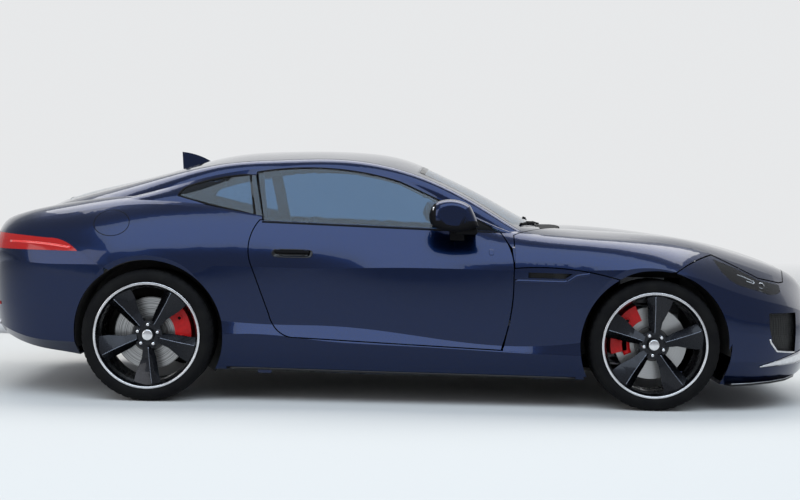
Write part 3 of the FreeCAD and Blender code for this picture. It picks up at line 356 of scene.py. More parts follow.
second_look("headlamps", gloss_black, faces_in)
second_look("tail_lamps", gloss_black, faces_in)
second_look("grille", mesh_painted_shade, lambda c, n: abs(c.y) > 0.42)  # the side intakes
second_look("exhaust", bright, lambda c, n: c.x < -2.06)  # the tips
second_look("roof", lining, lambda c, n: n.z < -0.25)
second_look("floor_pan", carpet, lambda c, n: n.z > 0.3 and c.x < 0.7)
second_look("bulkheads", carpet, lambda c, n: c.x < 0.0)
for side, _ in SIDES:
    second_look("door_" + side, leather, lambda c, n: abs(c.y) < 0.79 and faces_in(c, n))
    second_look("door_mirror_" + side, satin_black, lambda c, n: c.z < 0.965 or c.x < 0.135)
    second_look("door_glass_" + side, satin_black, lambda c, n: c.x > 0.355)  # the front corner


# ------------------------ mesh helpers
def mesh_object(name, bm, look, body, smooth=True):
    """Object from a bmesh, with its material, on a body."""
    data = bpy.data.meshes.new(name)
    bmesh.ops.recalc_face_normals(bm, faces=bm.faces)
    bm.to_mesh(data)
    bm.free()
    if smooth:
        data.shade_smooth()
    data.materials.append(look)
    o = bpy.data.objects.new(name, data)
    bpy.context.scene.collection.objects.link(o)
    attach(o, body)
    return o


def grid_surface(bm, rows, close_rows=False, close_columns=False):
    """Quads between rows of points."""
    verts = [[bm.verts.new(p) for p in row] for row in rows]
    count_r, count_c = len(verts), len(verts[0])
    for i in range(count_r if close_rows else count_r - 1):
        for j in range(count_c if close_columns else count_c - 1):
            a, b = verts[i], verts[(i + 1) % count_r]
            bm.faces.new((a[j], a[(j + 1) % count_c], b[(j + 1) % count_c], b[j]))
    return verts


def cap_ends(bm, verts):
    """Closes the first and the last row of a grid."""
    bm.faces.new(verts[0])
    bm.faces.new(verts[-1])


def thicken(o, thickness):
    """Turns a surface into a thin closed panel, half of it on each side."""
    thick = o.modifiers.new("thick", "SOLIDIFY")
    thick.thickness, thick.offset = thickness, 0.0
    return o


def panel(name, rows, look, body, thickness=0.003):
    """Thin closed panel over rows of points."""
    bm = bmesh.new()
    grid_surface(bm, rows)
    return thicken(mesh_object(name, bm, look, body), thickness)


def lathe(name, centre, profile, look, body, side, steps=64, ring=False):
    """Turned piece about a line across the car; profile rows are (radius, distance outwards). A
    ring is closed between its last and first rows."""
    x, y, z = centre
    rows = []
    for i in range(steps):
        a = 2 * math.pi * i / steps
        rows.append([(x + r * math.cos(a), y + side * d, z + r * math.sin(a)) for r, d in profile])
    bm = bmesh.new()
    verts = grid_surface(bm, rows, close_rows=True, close_columns=ring)
    for end in (0, -1):
        if profile[end][0] > 1e-6 and not ring:
            bm.faces.new([row[end] for row in verts])
    bmesh.ops.remove_doubles(bm, verts=bm.verts, dist=1e-6)
    return mesh_object(name, bm, look, body)


def turned(name, profile, look, place, axis, steps, side=1):
    """Turned piece on the body, at a place, with its axis turned away from the line across."""
    o = lathe(name, (0, 0, 0), profile, look, "body", side, steps=steps)
    o.data.transform(Matrix.Translation(place) @ Matrix.Rotation(math.radians(90), 4, axis))


def rounded_box(name, low, high, look, body, radius, segments=3):
    """Box with rounded edges."""
    bm = bmesh.new()
    bmesh.ops.create_cube(bm, size=1.0)
    low, high = Vector(low), Vector(high)
    for v in bm.verts:
        v.co = Vector([(c + 0.5) * (b - a) + a for c, a, b in zip(v.co, low, high)])
    bmesh.ops.bevel(bm, geom=bm.edges[:] + bm.verts[:], offset=radius, segments=segments,
                    affect="EDGES", profile=0.5)
    return mesh_object(name, bm, look, body)


def side_box(name, k, low, high, look, body, radius, segments=3):
    """Rounded box on one side of the car; the y of its corners counts outwards."""
    y0, y1 = sorted((k * low[1], k * high[1]))
    rounded_box(name, (low[0], y0, low[2]), (high[0], y1, high[2]), look, body, radius, segments)


# ------------------------ surfaces to lay trims on
def tree_of(*names):
    """Search tree over some CAD nodes' faces."""
    verts, faces = [], []
    for n in names:
        data = nodes[n].data
        base = len(verts)
        verts += [v.co.copy() for v in data.vertices]
        faces += [[base + i for i in p.vertices] for p in data.polygons]
    return BVHTree.FromPolygons(verts, faces)


def outward(normal, k):
    """The normal turned away from the middle of the car."""
    return -normal if normal.y * k < 0 else normal


def side_hit(tree, x, z, k):
    """Outermost point and normal on one side at (x, z)."""
    place, normal, _, _ = tree.ray_cast(Vector((x, 1.4 * k, z)), Vector((0, -k, 0)))
    return place, place and outward(normal, k)


def top_hit(tree, x, y):
    """Highest point and normal at (x, y)."""
    place, normal, _, _ = tree.ray_cast(Vector((x, y, 2.0)), Vector((0, 0, -1)))
    return place, place and (normal if normal.z > 0 else -normal)


def back_hit(tree, y, z):
    """Rearmost point and normal at (y, z)."""
    place, normal, _, _ = tree.ray_cast(Vector((-3.0, y, z)), Vector((1, 0, 0)))
    return place, place and (normal if normal.x < 0 else -normal)


shell_tree = tree_of("roof", "rear_quarters", "windscreen_pillars", "lower_wings", "sills",
                     "front_bumper", "rear_bumper", "bonnet", "tailgate", "cowl", "door_right",
                     "door_left")
glass_tree = tree_of("door_glass_right", "door_glass_left", "quarter_glass")
lamp_tree = tree_of("headlamps")
tail_tree = tree_of("tail_lamps")
screen_glass = tree_of("windscreen")
rear_glass = tree_of("tailgate_glass")
wiper_tree = tree_of("windscreen", "cowl", "windscreen_pillars", "bonnet")


def arc_points(a, b, c, count):
    """Points after a on the arc from a through b to c."""
    d = 2 * (a.x * (b.y - c.y) + b.x * (c.y - a.y) + c.x * (a.y - b.y))
    aa, bb, cc = a.length_squared, b.length_squared, c.length_squared
    ux = (aa * (b.y - c.y) + bb * (c.y - a.y) + cc * (a.y - b.y)) / d
    uy = (aa * (c.x - b.x) + bb * (a.x - c.x) + cc * (b.x - a.x)) / d
    centre = Vector((ux, uy))
    t0, tb, t1 = (math.atan2(p.y - uy, p.x - ux) for p in (a, b, c))
    swing = (t1 - t0) % (2 * math.pi)
    if (tb - t0) % (2 * math.pi) > swing:
        swing -= 2 * math.pi
    radius = (a - centre).length
    turns = [t0 + swing * i / count for i in range(1, count + 1)]
    return [centre + Vector((math.cos(t), math.sin(t))) * radius for t in turns]


def path_points(start, *steps, count=10):
    """Points in metres along lines (2 numbers) and arcs (4 numbers), given in millimetres."""
    points = [Vector(start)]
    for step in steps:
        end = Vector(step[-2:])
        if len(step) == 4:
            points += arc_points(points[-1], Vector(step[:2]), end, count)
        else:
            for i in range(1, count + 1):
                points.append(points[-1].lerp(end, 1 / (count + 1 - i)))
    return [p / 1000 for p in points]


def ladder(a, b, count):
    """Even points from a to b."""
    return [tuple(p + (q - p) * i / count for p, q in zip(a, b)) for i in range(count + 1)]


def neighbours(points, i, closed):
    """The points before and after one; an open line's ends stand for what is missing."""
    count = len(points)
    before = points[i - 1] if closed or i else points[i]
    after = points[(i + 1) % count] if closed or i < count - 1 else points[i]
    return before, after


def sweep(name, centres, normals, section, look, body, closed=False):
    """Strip with a section of (across, up) points along centres."""
    rows = []
    for i, (c, n) in enumerate(zip(centres, normals)):
        before, after = neighbours(centres, i, closed)
        along = (after - before).normalized()
        across = n.cross(along).normalized()
        up = along.cross(across).normalized()
        rows.append([c + across * a + up * b for a, b in section])
    bm = bmesh.new()
    verts = grid_surface(bm, rows, close_rows=closed, close_columns=True)
    if not closed:
        cap_ends(bm, verts)
    return mesh_object(name, bm, look, body)


def round_section(width, height, sink=0.002, steps=8):
    """Half-round section that sinks a little below the surface."""
    points = [(-width / 2, -sink)]
    for i in range(steps + 1):
        a = math.pi * i / steps
        points.append((-width / 2 * math.cos(a), height * math.sin(a)))
    points.append((width / 2, -sink))
    return points


def lay_hits(name, hits, section, look, body, closed=False, shift=0.0):
    """Strip along the points and normals that rays found; misses are left out."""
    found = [(place + normal * shift, normal) for place, normal in hits if place is not None]
    centres, normals = zip(*found)
    sweep(name, centres, normals, section, look, body, closed)


def lay_strip(name, points, k, tree, section, look, body, closed=False, shift=0.0):
    """Strip along side-view points, on the surface that the tree holds."""
    hits = [side_hit(tree, x, z, k) for x, z in points]
    lay_hits(name, hits, section, look, body, closed, shift)


def lay_top(name, points, tree, section, look, body):
    """Strip along plan points on a surface seen from above."""
    lay_hits(name, [top_hit(tree, x, y) for x, y in points], section, look, body)


def bridge_strip(name, points, k, inner, outer, section, look, body, offset, shift=0.0,
                 closed=False):
    """Strip over a gap: its height is the mean of the two surfaces beside the gap."""
    centres, normals = [], []
    for i, p in enumerate(points):
        before, after = neighbours(points, i, closed)
        along = (after - before).normalized()
        away = Vector((along.y, -along.x)) * offset
        found = []
        for tree, sign in ((inner, -1), (outer, 1), (inner, 1), (outer, -1)):
            q = p + away * sign
            found.append(side_hit(tree, q.x, q.y, k)[0])
        a = found[0] or found[2]
        b = found[1] or found[3]
        if a is None or b is None:
            continue
        flat = (b - a).normalized()
        normal = outward(flat.cross(Vector((along.x, 0, along.y))).normalized(), k)
        centres.append(Vector((p.x, (a.y + b.y) / 2, p.y)) + normal * shift)
        normals.append(normal)
    sweep(name, centres, normals, section, look, body, closed)


def between(name, upper, lower, hit, depth, look, body, columns=6):
    """Recessed panel behind an opening, between hits beside its upper and lower edges."""
    rows = []
    for a, b in zip(upper, lower):
        (p, n), (q, m) = hit(*a), hit(*b)
        if p is None or q is None:
            continue
        rows.append([p.lerp(q, j / columns) - n.lerp(m, j / columns).normalized() * depth
                     for j in range(columns + 1)])
    panel(name, rows, look, body)


def oval_patch(name, middle, size, k, tree, look, body, proud, bridge=0.0):
    """Oval plate on a side's surface. With a bridge, its heights come from both sides of a small
    hole."""
    rings, around, power = 6, 48, 0.5
    rows = []
    for ring in range(rings + 1):
        row = []
        for i in range(around):
            a = 2 * math.pi * i / around
            x, z = (centre + reach * ring / rings * math.copysign(abs(turn) ** power, turn)
                    for centre, reach, turn in zip(middle, size, (math.cos(a), math.sin(a))))
            spots = (middle[0] - bridge, middle[0] + bridge) if bridge else (x,)
            places = [side_hit(tree, spot, z, k)[0] for spot in spots]
            share = (x - middle[0] + bridge) / (2 * bridge) if bridge else 0.0
            y = places[0].y + (places[-1].y - places[0].y) * share
            row.append((x, y + k * proud, z))
        rows.append(row)
    bm = bmesh.new()
    grid_surface(bm, rows, close_columns=True)
    bmesh.ops.remove_doubles(bm, verts=bm.verts, dist=1e-6)
    thicken(mesh_object(name, bm, look, body), 0.002)


def ring_sector(name, centre, radii, angles, thick, look, body, bevel=0.0, count=24):
    """Flat sector of a ring across the car, as a closed mesh."""
    x, y, z = centre
    corners = ((radii[0], 0), (radii[1], 0), (radii[1], thick), (radii[0], thick))
    rows = []
    for i in range(count + 1):
        a = math.radians(angles[0] + (angles[1] - angles[0]) * i / count)
        rows.append([(x + r * math.cos(a), y + d, z + r * math.sin(a)) for r, d in corners])
    bm = bmesh.new()
    cap_ends(bm, grid_surface(bm, rows, close_columns=True))
    if bevel:
        sharp = [e for e in bm.edges if e.calc_face_angle(0) > 0.8]
        bmesh.ops.bevel(bm, geom=sharp, offset=bevel, segments=2, affect="EDGES", profile=0.5)
    mesh_object(name, bm, look, body, smooth=bool(bevel))


# ------------------------ tyres
TREAD = 0.340  # the tread's radius
GROOVES = (0.62, 0.22)  # their places across half the tread
GROOVE_HALF = 0.0045
SLOTS, SLOT_DEPTH = 48, 0.004
STEPS_PER_SLOT = 6


def tyre_profile(width, rim_width):
    """Half profile of the tyre as (radius, y), from the bead out to the tread's middle."""
    h, face = width / 2, rim_width / 2
    points = [
        (0.2585, face - 0.0145), (0.2756, face - 0.0075), (0.278, h - 0.0060), (0.284, h - 0.003),
        (0.2925, h - 0.0006), (0.300, h), (0.308, h * 0.992), (0.315, h * 0.985),
        (0.3205, h * 0.962), (0.326, h * 0.93), (0.331, h * 0.90), (0.335, h * 0.86),
        (0.338, h * 0.81), (0.3393, h * 0.76),
    ]
    for share in GROOVES:
        y = h * share
        points += [(0.3396, y + GROOVE_HALF), (0.3325, y + GROOVE_HALF - 0.001),
                   (0.3325, y - GROOVE_HALF + 0.001), (0.3396, y - GROOVE_HALF)]
    points.append((TREAD, 0.0))
    return points


def tyre(name, node, x, y, width, rim_width, body):
    """Tyre with tread grooves and slots, replacing the plain one."""
    half = tyre_profile(width, rim_width)
    profile = [(r, -a) for r, a in half] + [(r, a) for r, a in reversed(half[:-1])]
    steps = SLOTS * STEPS_PER_SLOT
    rows = []
    for i in range(steps):
        turn = 2 * math.pi * i / steps
        row = []
        for r, a in profile:
            share = abs(a) / (width / 2)
            on_slot = (i + int(share * 8)) % STEPS_PER_SLOT == 0
            if r > 0.333 and share > 0.30 and on_slot:
                r -= SLOT_DEPTH
            row.append((x + r * math.cos(turn), y + a, WHEEL_Z + r * math.sin(turn)))
        rows.append(row)
    bm = bmesh.new()
    verts = grid_surface(bm, rows, close_rows=True)
    for i in range(steps):
        a, b = verts[i], verts[(i + 1) % steps]
        bm.faces.new((a[0], b[0], b[-1], a[-1]))
    o = mesh_object(name, bm, rubber, body)
    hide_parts(node)


for side, k in SIDES:
    tyre("tread_front_" + side, "front_tyre_" + side, FRONT_X, k * FRONT_Y, 0.255, 0.245,
         "wheel_front_" + side)
    tyre("tread_rear_" + side, "rear_tyre_" + side, REAR_X, k * REAR_Y, 0.295, 0.285,
         "wheel_rear_" + side)


# ------------------------ window trims
DOOR_GLASS_TOP = path_points((-804, 1195), (-420, 1221, -51, 1159), (185, 1053, 460, 916),
                             count=24)
BELT = path_points((462, 905), (-764, 935), count=30)
QUARTER = path_points((-768, 966), (-817, 1182), (-1000, 1160, -1150, 1118),
                      (-1195, 1094, -1215, 1062), (-1010, 1012, -768, 966), count=12)
for side, k in SIDES:
    bridge_strip("glass_seal_" + side, DOOR_GLASS_TOP, k, glass_tree, shell_tree,
                 round_section(0.010, 0.002), rubber, "body", 0.012, shift=-0.001)
    lay_strip("belt_trim_" + side, BELT, k, shell_tree, round_section(0.012, 0.002), rubber,
              "door_" + side)
    bridge_strip("quarter_seal_" + side, QUARTER[:-1], k, glass_tree, shell_tree,
                 round_section(0.013, 0.002), rubber, "body", 0.012, closed=True)


# ------------------------ wheel details
# end, axle, middle of the tyre, from there to the rim's face, angle of the first spoke
WHEELS = (("front", FRONT_X, FRONT_Y, 0.1225, 16.0), ("rear", REAR_X, REAR_Y, 0.1425, 58.5))
SPOKES = 5
SPOKE_ANGLE = 360 // SPOKES
CAP = [(0.0, -0.0275), (0.014, -0.0278), (0.024, -0.029), (0.0285, -0.0305), (0.0290, -0.036)]
CAP_RING = [(0.0290, -0.036), (0.0292, -0.030), (0.0310, -0.0285), (0.0330, -0.0295),
            (0.0345, -0.036)]
NUT = [(0.0, -0.026), (0.006, -0.0265), (0.0092, -0.030), (0.0098, -0.034), (0.0098, -0.045),
       (0.0125, -0.047), (0.0125, -0.050)]
NUT_CIRCLE = 0.054
RIM_LIP = [(0.2640, -0.002), (0.2642, 0.0012), (0.2665, 0.0016), (0.2728, 0.0014),
           (0.2750, 0.0004), (0.2750, -0.004)]
for end, x, track, face, first in WHEELS:
    for side, k in SIDES:
        body = f"wheel_{end}_{side}"
        outer = k * (track + face)
        hub = (x, outer, WHEEL_Z)
        lathe(f"cap_{end}_{side}", hub, CAP, bright, body, k)
        lathe(f"cap_ring_{end}_{side}", hub, CAP_RING, gloss_black, body, k, ring=True)
        for n in range(SPOKES):
            a = math.radians(first + 30 + SPOKE_ANGLE * n)
            place = (x + NUT_CIRCLE * math.cos(a), outer, WHEEL_Z + NUT_CIRCLE * math.sin(a))
            lathe(f"nut_{end}_{side}_{n}", place, NUT, bright, body, k, steps=24)
        lathe(f"lip_{end}_{side}", hub, RIM_LIP, bright, body, k, steps=160, ring=True)

# a pale strip along one edge of each spoke: painted highlight of the light on the spoke's ridge
# distance from the hub, distance beside the spoke's middle line, depth behind the rim's face
SPOKE_EDGE = [(0.060, 0.0, 0.0356), (0.120, 0.002, 0.030), (0.190, 0.006, 0.020),
              (0.2525, 0.0117, 0.0086)]
for end, x, track, face, first in WHEELS:
    for side, k in SIDES:
        for n in range(SPOKES):
            a = math.radians(first + SPOKE_ANGLE * n)
            along = Vector((math.cos(a), 0, math.sin(a)))
            across = Vector((-math.sin(a), 0, math.cos(a)))
            ends = [Vector((x, k * (track + face - depth), WHEEL_Z)) + along * reach
                    + across * aside for reach, aside, depth in SPOKE_EDGE]
            line = [p.lerp(q, j / 4) for p, q in zip(ends, ends[1:]) for j in range(4)]
            line.append(ends[-1])
            sweep(f"spoke_ridge_{end}_{side}_{n}", line, [Vector((0, k, 0))] * len(line),
                  round_section(0.0035, 0.0011), ridge_highlight, f"wheel_{end}_{side}")


# ------------------------ fuel flap and door handles
FLAP_MIDDLE, FLAP_SIZE = (-1.5405, 0.914), (0.094, 0.066)
FLAP_ANGLES = [2 * math.pi * i / 72 for i in range(72)]
FLAP = [(FLAP_MIDDLE[0] + FLAP_SIZE[0] * math.cos(a), FLAP_MIDDLE[1] + FLAP_SIZE[1] * math.sin(a))
        for a in FLAP_ANGLES]
lay_strip("fuel_flap_gap", FLAP, -1, shell_tree, round_section(0.004, 0.0006), rubber, "body",
          closed=True)

for side, k in SIDES:
    door = "door_" + side
    y = side_hit(shell_tree, -0.60, 0.815, k)[0].y
    y0, y1 = sorted((y, y + k * 0.010))
    # a black oval plate over the handle's recess: painted shade of the recess
    oval_patch("handle_recess_shade_" + side, (-0.600, 0.776), (0.106, 0.0225), k, shell_tree, gloss_black,
               door, 0.0008)
    rounded_box("handle_" + side, (-0.690, y0, 0.7755), (-0.512, y1, 0.7925), satin_black, door,
                0.005)
    oval_patch("hinge_cap_" + side, (0.430, 0.8035), (0.013, 0.0145), k, shell_tree, paint, door,
               0.0004, bridge=0.018)


# ------------------------ vents, lamps and nose
VENT_BLADE = path_points((552, 662), (818, 660), (868, 694), (935, 705), count=14)
VENT_BLADE_SECTION = [(-0.009, -0.001), (-0.009, 0.0005), (0.008, 0.008), (0.009, 0.006),
                      (0.009, -0.001)]
# the folded rear edge of the bonnet's wing top, as (z, x), and how it meets the wing
WING_EDGE = [(0.834, 0.5385), (0.824, 0.5385), (0.812, 0.5388), (0.800, 0.5396), (0.785, 0.5430),
             (0.770, 0.5460), (0.755, 0.5475)]
WING_X, WING_FOLD_X, WING_SLOPE = 0.5585, 0.5525, 0.06
LAMP_BAR = path_points((1730, 712), (1775, 697, 1815, 680), (1824, 672, 1812, 669), (1778, 680),
                       count=12)
LAMP_SLOTS = (((1718, 734), (1768, 710)), ((1832, 676), (1905, 640)))
LENS_X, LENS_Z = 1.862, 0.648
LENS = [(0.0, 0.008), (0.008, 0.007), (0.014, 0.003), (0.0155, -0.003)]
LENS_RING = [(0.0165, -0.003), (0.0165, 0.004), (0.0205, 0.004), (0.0215, -0.003)]
TAIL_LINE = path_points((-1745, 783), (-1900, 800, -2085, 806), count=20)
INTAKE_EDGE = path_points((1900, 378), (1907, 360), (1947, 313), (2066, 300), count=8)
for side, k in SIDES:
    def from_side(x, z):
        return side_hit(shell_tree, x, z, k)

    def from_top(x, y):
        return top_hit(shell_tree, x, y)

    between("side_vent_" + side, ladder((0.612, 0.7125), (0.850, 0.7110), 14),
            ladder((0.612, 0.670), (0.815, 0.670), 14), from_side, 0.019, mesh_painted_shade, "body")
    lay_strip("vent_blade_" + side, VENT_BLADE, k, shell_tree,
              [(k * across, up) for across, up in VENT_BLADE_SECTION], paint, "body")
    side_box("mouth_baffle_" + side, k, (1.990, 0.380, 0.290), (1.996, 0.650, 0.620), satin_black,
             "body", 0.002)
    rows = []
    for z, x in WING_EDGE:
        y = from_side(WING_X, z)[0].y
        rows.append([(px, y - k * (WING_X - px) * WING_SLOPE, z)
                     for px in (x, (x + WING_FOLD_X) / 2, WING_FOLD_X)])
    panel("wing_edge_" + side, rows, paint, "bonnet", 0.002)
    between("bonnet_vent_" + side, ladder((1.160, k * 0.316), (1.500, k * 0.290), 12),
            ladder((1.160, k * 0.404), (1.480, k * 0.404), 12), from_top, 0.017, mesh_painted_shade,
            "bonnet")

    # inside the headlamp: the bent light bar, two slots, a lens and its ring
    lay_strip("lamp_bar_" + side, LAMP_BAR, k, lamp_tree, round_section(0.007, 0.003), white_lens,
              "body", shift=-0.006)
    for n, (a, b) in enumerate(LAMP_SLOTS):
        lay_strip(f"lamp_slot_{side}_{n}", path_points(a, b, count=6), k, lamp_tree,
                  round_section(0.012, 0.002), satin_black, "body", shift=-0.005)
    centre = (LENS_X, side_hit(lamp_tree, LENS_X, LENS_Z, k)[0].y - k * 0.020, LENS_Z)
    lathe("lamp_lens_" + side, centre, LENS, lamp_glass, "body", k, steps=40)
    lathe("lamp_ring_" + side, centre, LENS_RING, bright, "body", k, steps=40, ring=True)

    lay_strip("tail_line_" + side, TAIL_LINE, k, tail_tree, round_section(0.012, 0.002), red_light,
              "body")
    lay_strip("intake_edge_" + side, INTAKE_EDGE, k, shell_tree, round_section(0.011, 0.005),
              bright, "body")
    # a bright metal strip on the ledge below the intake: painted reflection on the ledge's upward
    # face
    between("lip_ledge_highlight_" + side, ladder((1.850, 0.236), (2.130, 0.312), 14),
            ladder((1.850, 0.231), (2.130, 0.243), 14), from_side, -0.004, bright, "body", 3)

# the splitter's edge from the wheel arch to the middle of the nose: x, distance out, z
LIP = [(1.690, 0.893, 0.142), (1.800, 0.846, 0.143), (1.920, 0.775, 0.147), (2.020, 0.690, 0.153),
       (2.090, 0.585, 0.160), (2.135, 0.440, 0.165), (2.160, 0.240, 0.168)]
SPLITTER = [(0.070, -0.006), (0.004, -0.006), (0.000, -0.003), (0.000, 0.003), (0.004, 0.006),
            (0.070, 0.004)]
SPLITTER_HIGHLIGHT = [(0.007, -0.002), (0.002, -0.002), (0.002, 0.0010), (0.007, 0.0014)]
lip_line = [Vector((x, -y, z)) for x, y, z in LIP] + [Vector((2.168, 0.0, 0.169))]
lip_line += [Vector((p.x, -p.y, p.z)) for p in reversed(lip_line[:-1])]
sweep("splitter", lip_line, [UP] * len(lip_line), SPLITTER, gloss_black, "body")
# a pale alloy strip along the top of the black splitter: painted highlight
sweep("splitter_highlight", [p + UP * 0.006 for p in lip_line], [UP] * len(lip_line), SPLITTER_HIGHLIGHT,
      alloy, "body")
SILL_LINE = path_points((-930, 176), (880, 160), count=24)
SILL_BLADE = [(-0.006, -0.003), (-0.006, 0.003), (-0.003, 0.006), (0.004, 0.006), (0.006, 0.003),
              (0.006, -0.003)]
for side, k in SIDES:
    lay_strip("sill_blade_" + side, SILL_LINE, k, shell_tree, SILL_BLADE, gloss_black, "body")
rounded_box("rear_plate", (-2.2425, -0.260, 0.545), (-2.2370, 0.260, 0.656), plate_white, "body",
            0.0015)
rounded_box("rear_plate_frame", (-2.2372, -0.268, 0.537), (-2.2330, 0.268, 0.664), satin_black,
            "body", 0.0015)


# ------------------------ tail
def from_back(y, z):
    return back_hit(shell_tree, y, z)


# the panel between the tail lamps; its top steps down towards their ends
TAIL_HALF, TAIL_LOW = 0.592, 0.7672
TAIL_TOP, TAIL_TOP_OUT, TAIL_STEP_Y, TAIL_STEP = 0.861, 0.8515, 0.385, 0.03
rows = []
for _, y in ladder((0, -TAIL_HALF), (0, TAIL_HALF), 60):
    x = from_back(y, 0.762)[0].x + 0.006
    share = max(0.0, 1 - (abs(y) - TAIL_STEP_Y) / TAIL_STEP)
    top = TAIL_TOP if abs(y) < TAIL_STEP_Y else TAIL_TOP_OUT + 0.0095 * share
    rows.append([(x + 0.010 * (f / 5) ** 1.5, y, TAIL_LOW + (top - TAIL_LOW) * f / 5)
                 for f in range(6)])
panel("tail_panel", rows, paint, "body", 0.004)
between("diffuser", ladder((-0.600, 0.405), (0.600, 0.405), 40),
        ladder((-0.560, 0.290), (0.560, 0.290), 40), from_back, -0.002, satin_black, "body", 8)
for n, y in enumerate((-0.36, -0.18, 0.18, 0.36)):
    a, b = from_back(y, 0.392)[0], from_back(y, 0.302)[0]
    fin = [(a.x - 0.001, a.z), (a.x + 0.012, 0.352), (b.x - 0.013, b.z - 0.004),
           (b.x + 0.010, b.z + 0.004), (a.x + 0.020, a.z)]
    bm = bmesh.new()
    flat = [[(x, y + d, z) for x, z in fin] for d in (-0.004, 0.004)]
    cap_ends(bm, grid_surface(bm, flat, close_columns=True))
    mesh_object(f"diffuser_fin_{n}", bm, satin_black, "body", smooth=False)
for side, k in SIDES:
    between("reflector_" + side, ladder((k * 0.540, 0.482), (k * 0.690, 0.482), 12),
            ladder((k * 0.540, 0.466), (k * 0.690, 0.466), 12), from_back, -0.002, lamp_red,
            "body", 3)


# ------------------------ glass edges
BAND = [(-0.016, -0.0002), (-0.016, 0.0006), (0.016, 0.0006), (0.016, -0.0002)]
SCREEN_SIDE = path_points((75, -545), (270, -600), (530, -682), count=14)
REAR_SIDE = path_points((-1222, -438), (-1820, -473), count=20)
for side, k in SIDES:
    for name, line, tree, body in (("screen", SCREEN_SIDE, screen_glass, "body"),
                                   ("rear", REAR_SIDE, rear_glass, "tailgate")):
        edge = [(x, k * abs(y)) for x, y in line]
        lay_top(f"{name}_band_{side}", edge, tree, BAND, gloss_black, body)
top = [(0.095 - 0.096 * y * y, y) for _, y in ladder((0, -0.53), (0, 0.53), 40)]
lay_top("screen_band_top", top, screen_glass, BAND, gloss_black, "body")
top = [(-1.212 - 0.041 * y * y, y) for _, y in ladder((0, -0.43), (0, 0.43), 40)]
lay_top("rear_band_top", top, rear_glass, BAND, gloss_black, "tailgate")


# ------------------------ brakes
CALIPERS = (("front", FRONT_X, 155.0, ("front_caliper_right", "front_caliper_left"),
             ("knuckle_right", "knuckle_left")),
            ("rear", REAR_X, 12.0, ("rear_calipers", "rear_calipers"), ("body", "body")))
PISTON = [(0.0, -0.001), (0.010, -0.001), (0.0125, 0.0022), (0.0165, 0.0022), (0.0185, 0.0),
          (0.0185, -0.004)]
PISTON_CAP = [(0.0, 0.0008), (0.0085, 0.0004), (0.0095, -0.002)]
PISTON_CIRCLE, PISTON_ANGLE = 0.176, 17


def outer_face(part, k):
    """How far out a part reaches on one side."""
    low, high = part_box(part)
    return low[1] if k < 0 else high[1]


for end, x, middle, parts, bodies in CALIPERS:
    for (side, k), part, body in zip(SIDES, parts, bodies):
        face = outer_face(part, k)
        for n, turn in enumerate((-PISTON_ANGLE, PISTON_ANGLE)):
            a = math.radians(middle + turn)
            centre = (x + PISTON_CIRCLE * math.cos(a), face, WHEEL_Z + PISTON_CIRCLE * math.sin(a))
            lathe(f"piston_{end}_{side}_{n}", centre, PISTON, caliper_red, body, k, steps=32)
            lathe(f"piston_cap_{end}_{side}_{n}", centre, PISTON_CAP, satin_black, body, k,
                  steps=24)
for side, k in SIDES:
    face = outer_face("front_caliper_" + side, k)
    ring_sector("caliper_leg_" + side, (FRONT_X, face, WHEEL_Z), (0.117, 0.158), (144, 203),
                -k * 0.012, caliper_red, "knuckle_" + side, 0.004)
    ring_sector("rear_baffle_" + side, (REAR_X, k * 0.631, WHEEL_Z), (0.24, 0.386), (-34, 26),
                k * 0.003, underbody, "body")


# ------------------------ cabin details
DIAL = [(0.0, 0.001), (0.040, 0.001), (0.044, 0.004), (0.048, 0.004), (0.049, -0.004)]
SELECTOR = [(0.0, 0.088), (0.014, 0.084), (0.019, 0.070), (0.012, 0.040), (0.010, 0.0),
            (0.028, -0.002)]
DOOR_SKIN = 0.7818  # the door's inner face, measured outwards
for side, k in SIDES:
    side_box("armrest_" + side, k, (-0.420, 0.700, 0.600), (0.220, DOOR_SKIN, 0.660), leather,
             "door_" + side, 0.018, 4)
    side_box("door_trim_" + side, k, (-0.520, 0.766, 0.690), (0.260, DOOR_SKIN, 0.830), leather,
             "door_" + side, 0.008)
rounded_box("screen_centre", (0.300, -0.095, 0.700), (0.322, 0.095, 0.800), gloss_black, "body",
            0.004)
rounded_box("binnacle", (0.300, 0.235, 0.845), (0.440, 0.505, 0.908), leather, "body", 0.018, 4)
for n, y in enumerate((0.305, 0.435)):
    turned(f"dial_{n}", DIAL, gloss_black, (0.3025, y, 0.806), "Z", 40)
turned("selector", SELECTOR, leather, (0.080, 0.0, 0.5005), "X", 32)


# ------------------------ door mirrors
for side, k in SIDES:
    side_box("mirror_arm_" + side, k, (0.236, 0.800, 0.894), (0.352, 0.955, 0.930), satin_black,
             "door_" + side, 0.012, 4)
    side_box("mirror_glass_" + side, k, (0.1185, 0.875, 0.955), (0.1300, 0.998, 1.032), bright,
             "door_" + side, 0.004)


